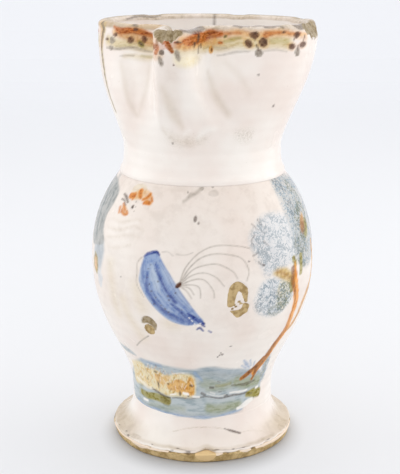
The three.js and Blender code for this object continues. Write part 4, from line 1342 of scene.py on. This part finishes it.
# %% The foot's ragged coat
# A bite: degrees from the painted front, half width in degrees, depth as a share of the flare
EDGE_BITES = [
    (-36.0, 3.0, 0.024), (-22.0, 2.5, 0.04), (-9.0, 3.0, 0.024), (scar_degrees, 6.0, 0.176),
    (14.0, 2.5, 0.032), (24.0, 2.5, 0.04), (33.0, 3.0, 0.024), (44.0, 2.0, 0.04), (58.0, 2.0, 0.024),
]
DEEPEST_BITE = 0.3
COAT_ROWS = 46
COAT_CROWDING = 1.2
EDGE_ROUND = 0.012
UNDER_CLEARANCE = 0.05
FOOT_UNROLL = 44.0
ragged_edge = (
    0.02
    + 0.006 * np.sin(5 * angles + 0.7)
    + 0.002 * np.sin(11 * angles + 2.0)
    + 0.006 * np.sin(37 * angles + 3 * np.sin(4 * angles)) * np.sin(9 * angles + 1.0)
)
for middle, half_width, depth in EDGE_BITES:
    ragged_edge = ragged_edge + depth * bell(front_degrees[0] - middle, half_width)
edge_start = np.clip(ragged_edge, 0, DEEPEST_BITE)[None, :]
coat_share = np.linspace(0, 1, COAT_ROWS)[:, None] ** COAT_CROWDING
coat_t = edge_start + (1 - edge_start) * coat_share
coat_outer = flare_layer(coat_t, coat * np.exp(-coat_share / EDGE_ROUND))
coat_under = flare_layer(coat_t[::-2], np.full(coat_t[::-2].shape, coat + UNDER_CLEARANCE))
foot_coat_points = turned(np.concatenate([coat_outer, coat_under]))
foot_shape = foot_coat_points.shape[:2]
foot_shown = np.broadcast_to(np.arange(foot_shape[0])[:, None] < len(coat_outer), foot_shape)
foot_radii = np.hypot(foot_coat_points[..., 0], foot_coat_points[..., 1])
foot_canvas = Canvas(
    foot_coat_points, round_front * FOOT_UNROLL, foot_coat_points[..., 2] - foot_radii, foot_shown
)
print("foot coat grid", foot_shape, "with", len(EDGE_BITES), "bites")

# %% [markdown]
# A foot gathers more dirt than any other place, and this one is darker at its sides and near its edge: partly
# dirt, partly painted shade. Pits, stains and a scratch are placed from the photograph, and the darkening is
# a formula of the angle and of the way along the coat.

# %% Wear of the foot, and painted shade
HAIRLINES = [([(173, 431), (199.5, 426.8), (223, 429)], 0.6), ([(240, 433), (250, 430.8), (262, 430.6)], 0.3)]
# Painted shadow and dirt under the ragged edge
EDGE_SHADOWS = [
    ([(176, 449), (186, 450.4), (195, 450.8)], (0.3, 0.7, 0.4)),
    ([(199, 451), (206, 450.2), (213, 451)], (0.6, 1.2, 0.6)),
    ([(214, 450.8), (224, 450), (231, 449.4)], (0.4, 0.7, 0.3)),
    ([(233, 449), (242, 447.6), (250, 446)], (0.3, 0.8, 0.3)),
]
SCAR_DIRT = [(198, 451.2), (206, 450.4), (214, 451.2)]
SCAR_DIRT_SPREAD = 8.0
SIDE_DIRT_AND_SHADE = 0.92
DARK_SIDES = (29, 75)
FOOT_SHADE = 0.14
# Shares of the coat's length from its edge: the white edge, where the band of grime and painted shade lies,
# where the painted shade and the sides' darkening fade
WHITE_EDGE = 0.02
DARK_BAND_MIDDLE = 0.12
DARK_BAND_SPREAD = 0.1
SHADE_FADE = (0.5, 0.9)
SIDE_FADE = (0.35, 0.8)
SCRATCH = [(224, 429), (231, 430.8), (239.8, 433.6)]
GARLAND_TAIL = [(172, 414.6), (186, 416.8), (204.5, 417.6), (222, 416.2)]
STAINS = [
    ((118, 424), (7.0, 5.0), 0.3),
    ((284, 425), (6.0, 4.0), 0.4),
    ((135, 436), (5.0, 2.4), 0.35),
    ((268, 438), (5.0, 2.4), 0.35),
    ((280, 407), (6.0, 4.0), 0.3),
]
PITS = [
    ((126.4, 431), (0.7, 0.6)), ((128.5, 434.8), (1.0, 0.8)), ((172, 451), (0.9, 0.6)),
    ((152.6, 444.4), (0.5, 0.4)), ((177.6, 448.6), (0.8, 0.4)), ((188, 451.6), (1.4, 0.5)),
    ((232.8, 449), (0.8, 0.5)), ((243, 447.6), (1.4, 0.4)), ((216, 450), (1.6, 0.4)),
    ((261.6, 447.4), (0.9, 0.6)), ((119.4, 424.6), (0.5, 0.5)), ((268, 438.6), (1.4, 0.4)),
]
foot_canvas.dabs("ink_and_shadow", PITS, 0.8)
for line, strength in HAIRLINES:
    foot_canvas.stroke("dirt", line, 0.5, strength)
# Painted shadow and dirt in ink under the ragged edge
for line, width in EDGE_SHADOWS:
    foot_canvas.stroke("ink_and_shadow", line, width, 0.55)
foot_canvas.stroke("dirt", SCAR_DIRT, (1.6, 3.4, 1.6), 0.9, 0.8)
foot_canvas.stroke("ink_and_shadow", SCRATCH, (0.4, 1.6, 1.2), 0.85)
foot_canvas.stroke("haze", GARLAND_TAIL, (0.2, 1.5, 1.6, 0.2), 0.9)
foot_canvas.stroke("blue_edge", GARLAND_TAIL, (0.2, 1.4, 1.5, 0.2), 0.5)
foot_canvas.dabs("dirt", STAINS)
along_coat = np.concatenate([coat_share, np.ones((len(coat_under), 1))])
patchy = 0.5 + 0.5 * np.sin(9 * round_front + 2 * np.sin(4 * round_front))
at_scar = bell(front_degrees - scar_degrees, SCAR_DIRT_SPREAD)
foot_canvas.lay("white", 0.8 * np.exp(-along_coat / WHITE_EDGE) * patchy * (1 - at_scar))
# A band of grime and painted shade near the edge, a little painted shade over the coat, and more of both at
# the sides
foot_canvas.lay("grime_and_shade", (0.4 + 0.3 * patchy) * bell(along_coat - DARK_BAND_MIDDLE, DARK_BAND_SPREAD))
foot_canvas.lay("grime_and_shade", FOOT_SHADE * (1 - smooth_step(along_coat, *SHADE_FADE)))
foot_sides = smooth_step(off_front, *DARK_SIDES)
foot_canvas.lay("grime_and_shade", SIDE_DIRT_AND_SHADE * foot_sides * (1 - smooth_step(along_coat, *SIDE_FADE)))
foot_coat = grid_mesh("foot_coat", foot_coat_points, loop=True)
foot_canvas.put_into(foot_coat)
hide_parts("foot_glaze")
print("foot canvas:", len(foot_canvas.pigments), "pigments")

# %% [markdown]
# The handle behind is a strap pulled from a lump of clay and pressed on at both ends. An oval section
# is carried along a Bezier line, and swells where the thumb spread it on the neck and the belly.

# %% The handle
HANDLE_TOP_DROP = 26.0
HANDLE_LOW_LIFT = 12.0
HANDLE_REACH = 52.0
# How far above its two ends the strap's curve aims
TOP_AIM = 18.0
LOW_AIM = 16.0
STRAP_WIDTH = 27.0
STRAP_THICKNESS = 10.0
STRAP_TAPER = 0.82
STRAP_COAT = 1.0
# How much wider a thumb spread each end, and over what share of the strap
TOP_SPREAD = 0.28
LOW_SPREAD = 0.34
SPREAD_SHARE = 0.05
GROOVE_DEPTH = 0.9
GROOVE_WIDTH = 0.3
# Painted shade over the strap, and grime and painted shade in its groove and over a share of it at its ends
STRAP_SHADE = 0.45
STRAP_SHADE_CLOUDS = 0.2
STRAP_GRIME_AND_SHADE = 0.5
END_DARK_SHARE = 0.06
STRAP_ROWS = 90
STRAP_SIDES = 40
handle_top = rim_height - HANDLE_TOP_DROP
handle_low = belly_height + HANDLE_LOW_LIFT
wall_middle = wall_and_coats / 2


def wall_y(z):
    """How far behind the axis the middle of the wall is, at the back, at a height."""
    return wall_points(np.array([[np.pi]]), np.array([[z]]), np.array([[wall_middle]]))[0, 0, 1]


handle_corners = [
    (wall_y(handle_top), handle_top),
    (wall_y(handle_top) + HANDLE_REACH, handle_top + TOP_AIM),
    (wall_y(handle_low) + HANDLE_REACH, handle_low + LOW_AIM),
    (wall_y(handle_low), handle_low),
]
travel = np.linspace(0, 1, STRAP_ROWS)
strap_line = bezier(handle_corners, travel)
strap_run = np.gradient(strap_line, axis=0)
strap_run = strap_run / np.linalg.norm(strap_run, axis=-1, keepdims=True)
strap_turn = np.linspace(0, 2 * np.pi, STRAP_SIDES, endpoint=False)[None, :]
spread = 1 + TOP_SPREAD * np.exp(-travel / SPREAD_SHARE) + LOW_SPREAD * np.exp(-(1 - travel) / SPREAD_SHARE)
taper = 1 + (STRAP_TAPER - 1) * travel
strap_half_width = (STRAP_WIDTH / 2 * taper + STRAP_COAT) * spread
strap_half_depth = STRAP_THICKNESS / 2 * taper + STRAP_COAT
groove = GROOVE_DEPTH * bell(np.cos(strap_turn), GROOVE_WIDTH) * (np.sin(strap_turn) > 0)
strap_across = strap_half_width[:, None] * np.cos(strap_turn)
strap_outward = strap_half_depth[:, None] * np.sin(strap_turn) - groove
strap_y = strap_line[:, :1] - strap_outward * strap_run[:, 1:]
strap_z = strap_line[:, 1:] + strap_outward * strap_run[:, :1]
strap_points = np.stack([strap_across, strap_y, strap_z], axis=-1)[:, ::-1]
strap_ends = (np.array([[0, *strap_line[0]]]), np.array([[0, *strap_line[-1]]]))
along_strap = travel[:, None]
handle_canvas = Canvas(strap_points, strap_turn, along_strap, np.ones(strap_points.shape[:2], bool))
# Painted shade over the strap, and grime and painted shade in its groove and at its ends
handle_canvas.lay("shade", STRAP_SHADE + STRAP_SHADE_CLOUDS * np.sin(along_strap * 17 + 2 * np.cos(strap_turn)))
end_darkening = np.exp(-along_strap / END_DARK_SHARE) + np.exp((along_strap - 1) / END_DARK_SHARE)
handle_canvas.lay("grime_and_shade", STRAP_GRIME_AND_SHADE * (groove[:, ::-1] + end_darkening))
handle = grid_mesh("handle_coat", strap_points, poles=strap_ends)
handle_canvas.put_into(handle)
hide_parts("handle_glaze")
print("strap grid", strap_points.shape[:2])

# %% [markdown]
# Finishes are node trees, and written out as trees they are hard to read. One small class lets shader
# values be added and multiplied like numbers, and one method makes any other node. Then the glaze is a
# list of pigments laid over cream, each broken up by its own noise.

# %% Arithmetic for shader values
MIX_A, MIX_B, MIX_COLOUR = 6, 7, 2


class Field:
    """A socket of a finish: arithmetic on it adds Math nodes."""

    def __init__(self, finish, socket):
        self.finish = finish
        self.socket = socket

    def math(self, operation, *values):
        """A Math node of this operation on these values."""
        return self.finish.node("ShaderNodeMath", {"operation": operation}, dict(enumerate(values)))

    def __add__(self, other):
        return self.math("ADD", self, other)

    __radd__ = __add__

    def __mul__(self, other):
        return self.math("MULTIPLY", self, other)

    __rmul__ = __mul__

    def __sub__(self, other):
        return self.math("SUBTRACT", self, other)

    def __rsub__(self, other):
        return self.math("SUBTRACT", other, self)


class Finish:
    """A material in the making."""

    def __init__(self, name):
        self.material = bpy.data.materials.new(name)
        self.material.use_nodes = True
        self.tree = self.material.node_tree
        self.tree.nodes.clear()
        self.place = self.node("ShaderNodeTexCoord", output="Object")

    def node(self, kind, settings=None, inputs=None, output=0):
        """A node of any type: its settings first, then values or links for its sockets."""
        made = self.tree.nodes.new(kind)
        for name, value in (settings or {}).items():
            setattr(made, name, value)
        for name, value in (inputs or {}).items():
            if isinstance(value, Field):
                self.tree.links.new(value.socket, made.inputs[name])
            else:
                made.inputs[name].default_value = value
        return Field(self, made.outputs[output]) if made.outputs else None

    def amount(self, name):
        """How much of a pigment or of wear lies at each point: one of the piece's own attributes."""
        return self.node("ShaderNodeAttribute", {"attribute_name": name}, output="Fac")

    def noise(self, size, detail=2.0, roughness=0.5, flat=1.0, curl=0.0):
        """Noise whose lumps are about so many millimetres across, so many times flatter than wide, curled."""
        stretch = {0: self.place, 1: (1, 1, flat)}
        squeezed = self.node("ShaderNodeVectorMath", {"operation": "MULTIPLY"}, stretch)
        inputs = {"Vector": squeezed, "Scale": 1 / (size * MM), "Detail": detail, "Roughness": roughness}
        return self.node("ShaderNodeTexNoise", {}, {**inputs, "Distortion": curl})

    def scribble(self, size):
        """Winding marks about so many millimetres apart: high where noise passes its middle value, less the
        gaps of a coarser noise."""
        from_middle = self.noise(size, 1.5, 0.5, curl=0.7) - 0.5
        gaps = 1.2 * self.noise(2.3 * size, 2.0, 0.5)
        return 1.38 - gaps - 4.6 * from_middle.math("ABSOLUTE", from_middle)

    def step(self, value, low, high):
        """0 to 1 as the value climbs from low to high, smoothly."""
        inputs = {"Value": value, "From Min": low, "From Max": high}
        return self.node("ShaderNodeMapRange", {"interpolation_type": "SMOOTHSTEP"}, inputs)

    def mix(self, amount, below, above):
        """Colour above laid over colour below."""
        inputs = {0: amount, MIX_A: below, MIX_B: above}
        return self.node("ShaderNodeMix", {"data_type": "RGBA"}, inputs, MIX_COLOUR)

    def surface(self, **sockets):
        """Ends the finish with a Principled shader."""
        inputs = {name.replace("_", " "): value for name, value in sockets.items()}
        shader = self.node("ShaderNodeBsdfPrincipled", {}, inputs)
        self.node("ShaderNodeOutputMaterial", {}, {"Surface": shader})
        return self.material


def tint(red, green, blue):
    """A colour as a screen shows it, 0 to 255, made linear: the power law of sRGB."""
    c = np.array([red, green, blue]) / 255
    c = np.where(c > 0.04045, ((c + 0.055) / 1.055) ** 2.4, c / 12.92)
    return (*c.tolist(), 1.0)


print("middle grey in linear light", round(tint(128, 128, 128)[0], 3))

# %% [markdown]
# Tin glaze is an opaque cream with a soft gloss. Large clouds of a warmer and a cooler cream, small
# specks of dust and pinholes keep it from looking like plastic. Pigments sink into it, so each is mixed
# over the cream by its amount times its own grain, and bare clay lies last, dull and rough.

# %% The glaze and its pigments
CREAM_LIGHT = tint(244, 237, 229)
CREAM_WARM = tint(236, 222, 212)
SPECK = tint(190, 172, 150)
# Pigment, colour where thin, colour where thick, how much its grain breaks it up, grain size, how flat
# it lies. Those put on with a sponge break up into scribbles.
SPONGED = ("sponge", "sponge_dark", "leaf")
# The first pigment is painted shade and the second grime with painted shade; the ink also paints a shadow
# under the foot's edge, and the white painted highlights on the neck
PIGMENTS = [
    ("shade", tint(223, 208, 195), tint(211, 195, 181), 0.12, 7.0, 1.0),
    ("grime_and_shade", tint(202, 185, 161), tint(187, 169, 144), 0.12, 9.0, 1.0),
    ("dirt", tint(196, 178, 152), tint(166, 146, 116), 0.5, 2.5, 1.0),
    ("speckle", tint(206, 194, 176), tint(176, 162, 142), 1.0, 0.7, 1.0),
    ("lemon", tint(211, 190, 136), tint(190, 163, 103), 0.15, 5.0, 3.0),
    ("mist", tint(206, 212, 218), tint(190, 198, 206), 0.15, 4.0, 1.0),
    ("fog", tint(172, 172, 168), tint(147, 149, 145), 0.15, 3.0, 0.5),
    ("haze", tint(182, 191, 193), tint(156, 168, 172), 0.12, 7.0, 3.5),
    ("moss", tint(160, 164, 132), tint(136, 144, 106), 0.25, 4.0, 3.0),
    ("slate", tint(134, 142, 142), tint(106, 114, 114), 0.3, 3.0, 0.5),
    ("straw", tint(240, 222, 176), tint(220, 188, 118), 0.15, 2.2, 0.6),
    ("straw_pale", tint(246, 234, 204), tint(240, 224, 184), 0.1, 2.0, 1.0),
    ("sponge", tint(208, 214, 217), tint(144, 156, 163), 0.9, 1.9, 1.0),
    ("sponge_dark", tint(148, 156, 160), tint(92, 104, 110), 1.0, 2.1, 1.0),
    ("leaf", tint(152, 157, 132), tint(88, 98, 72), 1.0, 2.2, 1.0),
    ("amber", tint(226, 168, 82), tint(200, 132, 42), 0.15, 2.4, 1.0),
    ("blue_edge", tint(150, 172, 200), tint(122, 150, 188), 0.2, 2.4, 2.0),
    ("wash", tint(150, 167, 198), tint(116, 139, 184), 0.0, 3.0, 1.0),
    ("pale_blue", tint(192, 202, 214), tint(176, 190, 206), 0.1, 2.0, 1.0),
    ("cobalt", tint(64, 84, 148), tint(44, 60, 124), 0.25, 2.4, 1.0),
    ("line", tint(160, 148, 134), tint(126, 114, 100), 0.1, 2.0, 1.0),
    ("olive", tint(158, 146, 56), tint(114, 102, 18), 0.2, 3.4, 1.5),
    ("ochre", tint(238, 160, 62), tint(212, 124, 30), 0.15, 2.2, 0.6),
    ("rust", tint(192, 104, 28), tint(142, 58, 6), 0.2, 2.2, 2.5),
    ("umber", tint(140, 84, 34), tint(106, 58, 18), 0.2, 2.0, 1.0),
    ("manganese", tint(98, 58, 38), tint(72, 40, 26), 0.15, 1.8, 1.0),
    ("ink_and_shadow", tint(90, 72, 60), tint(62, 48, 40), 0.2, 1.6, 1.0),
    ("white", tint(250, 245, 238), tint(246, 240, 232), 0.2, 1.8, 1.0),
    ("chip", tint(156, 137, 103), tint(126, 107, 72), 0.15, 2.6, 1.0),
]
CLAY_LIGHT = tint(196, 170, 124)
CLAY_DARK = tint(160, 134, 90)


def tin_glaze(name, painted):
    """Cream clouds and specks, the painted pigments in turn, then bare clay where the coat is gone."""
    finish = Finish(name)
    colour = finish.mix(finish.step(finish.noise(34, 3), 0.35, 0.7), CREAM_LIGHT, CREAM_WARM)
    specks = finish.step(finish.noise(1.1, 1), 0.74, 0.82) * 0.3
    colour = finish.mix(specks, colour, SPECK)
    for pigment, thin, thick, grain, size, flat in PIGMENTS:
        if pigment not in painted:
            continue
        lumps = finish.scribble(size) if pigment in SPONGED else finish.noise(size, 3, 0.65, flat)
        broken = finish.amount(pigment) * (1 - grain * finish.step(lumps, 0.62, 0.34))
        hue = finish.mix(finish.step(lumps, 0.45, 0.66), thin, thick)
        colour = finish.mix(broken, colour, hue)
    gloss = 0.18 + 0.14 * finish.noise(12, 2)
    height = finish.noise(2.4, 2) * 0.25
    if "clay" in painted:
        edge = finish.step(finish.amount("clay") + 0.5 * finish.noise(1.6, 2), 0.6, 0.85)
        clay = finish.mix(finish.step(finish.noise(2.2, 3), 0.4, 0.65), CLAY_LIGHT, CLAY_DARK)
        colour = finish.mix(edge, colour, clay)
        gloss = gloss + 0.5 * edge
        height = height + edge * finish.noise(0.9, 2)
    relief = {"Strength": 0.35, "Distance": 0.0003, "Height": height}
    bump = finish.node("ShaderNodeBump", {}, relief, "Normal")
    return finish.surface(Base_Color=colour, Roughness=gloss, Specular_IOR_Level=0.2, Normal=bump)


glazed_pieces = [
    (belly_coat, belly_canvas), (neck, neck_canvas), (foot_coat, foot_canvas), (handle, handle_canvas),
]
for piece, canvas in glazed_pieces:
    piece.data.materials.append(tin_glaze(piece.name + "_glaze", canvas.pigments))
lining.data.materials.append(tin_glaze("lining_glaze", {}))
print("glazes:", len(PIGMENTS), "pigments")

# %% [markdown]
# Bare clay shows only round the foot and where glaze is lost. It is a buff earthenware: grainy, dull,
# with darker dirt rubbed into its pores, and a paler scar where the foot's edge was knocked off.

# %% The clay and the slip
SCAR = tint(226, 194, 142)
RUN_OVER = tint(239, 219, 197)
SOIL_AND_SHADOW = tint(112, 88, 54)
PORE = tint(112, 92, 62)


def bare_clay(name, light, dark, scarred=False):
    """Two buffs mixed by noise, with pores that darken and roughen it, and a paler fresh scar over them."""
    finish = Finish(name)
    colour = finish.mix(finish.step(finish.noise(5, 4, 0.65), 0.38, 0.66), light, dark)
    pores = finish.step(finish.noise(1.1, 2), 0.62, 0.72)
    colour = finish.mix(pores * 0.5, colour, PORE)
    if scarred:
        # Soil and a painted shadow under the glaze's edge
        soil_and_shadow = 0.8 * finish.step(finish.amount("soil_and_shadow") + finish.noise(3, 3), 1.42, 1.6)
        colour = finish.mix(soil_and_shadow, colour, SOIL_AND_SHADOW)
        remains = finish.step(finish.amount("remains") + 0.5 * finish.noise(1.6, 2), 0.55, 0.75)
        colour = finish.mix(remains, colour, RUN_OVER)
        scar = finish.step(finish.amount("scar") + 0.4 * finish.noise(1.6, 2), 0.5, 0.8)
        colour = finish.mix(scar, colour, SCAR)
    relief = {"Strength": 0.5, "Distance": 0.0004, "Height": finish.noise(1.1, 3)}
    bump = finish.node("ShaderNodeBump", {}, relief, "Normal")
    return finish.surface(Base_Color=colour, Roughness=0.85 + 0.1 * pores, Normal=bump)


clay_finish = bare_clay("buff_clay", tint(186, 164, 126), tint(152, 130, 94))
slip_finish = bare_clay("joint_slip", tint(168, 146, 108), tint(140, 116, 82))
foot.data.materials.append(bare_clay("foot_clay", tint(214, 186, 134), tint(160, 131, 80), scarred=True))
covered_solids = [
    (clay_finish, ["belly", "handle"]),
    (slip_finish, ["foot_slip", "neck_slip", "handle_upper_slip", "handle_lower_slip"]),
]
for covering, nodes in covered_solids:
    for node in nodes:
        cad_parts[node].data.materials.clear()
        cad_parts[node].data.materials.append(covering)
print("clay on the foot and the solids inside")

# %% [markdown]
# The photograph has a plain pale sweep and very soft light from both sides, so that the edges of the
# jug are its brightest places. Two large lamps at the sides, one behind and above, and an even world do
# that. The paper glows a little, but its glow is left out round the foot: a painted shadow.

# %% Stage and light
PAPER = (0.495, 0.495, 0.50, 1.0)
FLOOR_GLOW = (0.255, 0.255, 0.26, 1.0)
WALL_GLOW = (0.36, 0.365, 0.385, 1.0)
# Metres: the paper's half width, its front end, where it bends up, the bend's radius and its top
SWEEP_HALF_WIDTH = 3.0
SWEEP_FRONT = -3.0
SWEEP_BEND = 1.2
BEND_RADIUS = 0.8
SWEEP_TOP = 4.0
SWEEP_ROWS = 12
# Metres: how far in front of the axis the painted shadow lies, where it ends, and where the wall's glow
# begins
SHADOW_FORWARD = 0.009
SHADOW_EDGE = (0.041, 0.058)
WALL_START = (0.4, 1.8)
bend_turn = np.linspace(0.1, np.pi / 2, SWEEP_ROWS)
floor_depths = np.linspace(SWEEP_FRONT, SWEEP_BEND, SWEEP_ROWS)
bend_depths = SWEEP_BEND + BEND_RADIUS * np.sin(bend_turn)
bend_heights = BEND_RADIUS - BEND_RADIUS * np.cos(bend_turn)
sweep_depths = np.concatenate([floor_depths, bend_depths, [SWEEP_BEND + BEND_RADIUS]])[:, None]
sweep_heights = np.concatenate([np.zeros(SWEEP_ROWS), bend_heights, [SWEEP_TOP]])[:, None]
sweep_across = np.array([[-SWEEP_HALF_WIDTH, SWEEP_HALF_WIDTH]])
sweep_x = sweep_across * np.cos(FRONT) - sweep_depths * np.sin(FRONT)
sweep_y = sweep_across * np.sin(FRONT) + sweep_depths * np.cos(FRONT)
sweep_points = np.stack(np.broadcast_arrays(sweep_x, sweep_y, sweep_heights), axis=-1)
first_corner = np.arange(len(sweep_depths) - 1) * 2
sweep_faces = np.stack([first_corner, first_corner + 1, first_corner + 3, first_corner + 2], axis=-1)
sweep_mesh = bpy.data.meshes.new("sweep")
sweep_mesh.from_pydata(sweep_points.reshape(-1, 3).tolist(), [], sweep_faces.tolist())
sweep = bpy.data.objects.new("sweep", sweep_mesh)
bpy.context.scene.collection.objects.link(sweep)
paper = Finish("paper")
east = paper.node("ShaderNodeSeparateXYZ", {}, {"Vector": paper.place}, "X")
north = paper.node("ShaderNodeSeparateXYZ", {}, {"Vector": paper.place}, "Y")
away_back = float(level[0]) * east + float(level[1]) * north
shadow_span = {0: paper.place, 1: tuple(-SHADOW_FORWARD * level)}
from_shadow = paper.node("ShaderNodeVectorMath", {"operation": "DISTANCE"}, shadow_span, "Value")
# The floor's glow is left out round the foot: a painted shadow
floor_glow = paper.mix(paper.step(from_shadow, *SHADOW_EDGE), (0, 0, 0, 1), FLOOR_GLOW)
glow = paper.mix(paper.step(away_back, *WALL_START), floor_glow, WALL_GLOW)
sweep_mesh.materials.append(
    paper.surface(Base_Color=PAPER, Roughness=0.9, Emission_Color=glow, Emission_Strength=1.0)
)
print("sweep:", len(sweep_mesh.polygons), "faces of paper")

# %% [markdown]
# Large area lamps give soft shadows. Each is placed by how far it stands to the right, behind and above,
# seen from the camera, and turned to face the middle of the jug.

# %% The world and the lamps
WORLD_COLOUR = (0.95, 0.97, 1.0, 1.0)
WORLD_STRENGTH = 1.12
LAMP_AIM = Vector((0, 0, 0.11))
# Metres to the right of the jug, behind it and above the table, then the lamp's size and its power
LAMPS = [
    ("left", (-0.85, 0.15, 0.40), 0.8, 1.6),
    ("right", (0.85, 0.15, 0.40), 0.8, 2.45),
    ("behind", (0.05, 0.45, 1.05), 0.8, 2.2),
]
world = bpy.data.worlds.new("studio")
world.use_nodes = True
sky = world.node_tree.nodes["Background"]
sky.inputs["Color"].default_value = WORLD_COLOUR
sky.inputs["Strength"].default_value = WORLD_STRENGTH
bpy.context.scene.world = world
for name, (aside, back, above), size, power in LAMPS:
    lamp_data = bpy.data.lights.new(name, "AREA")
    lamp_data.shape = "SQUARE"
    lamp_data.size = size
    lamp_data.energy = power
    lamp = bpy.data.objects.new(name, lamp_data)
    lamp.location = Vector(aside * right + back * level + above * np.array([0.0, 0.0, 1.0]))
    lamp.rotation_euler = (LAMP_AIM - lamp.location).to_track_quat("-Z", "Y").to_euler()
    bpy.context.scene.collection.objects.link(lamp)
bpy.context.scene.view_settings.view_transform = "Standard"
print("lamps:", ", ".join(name for name, *_ in LAMPS))
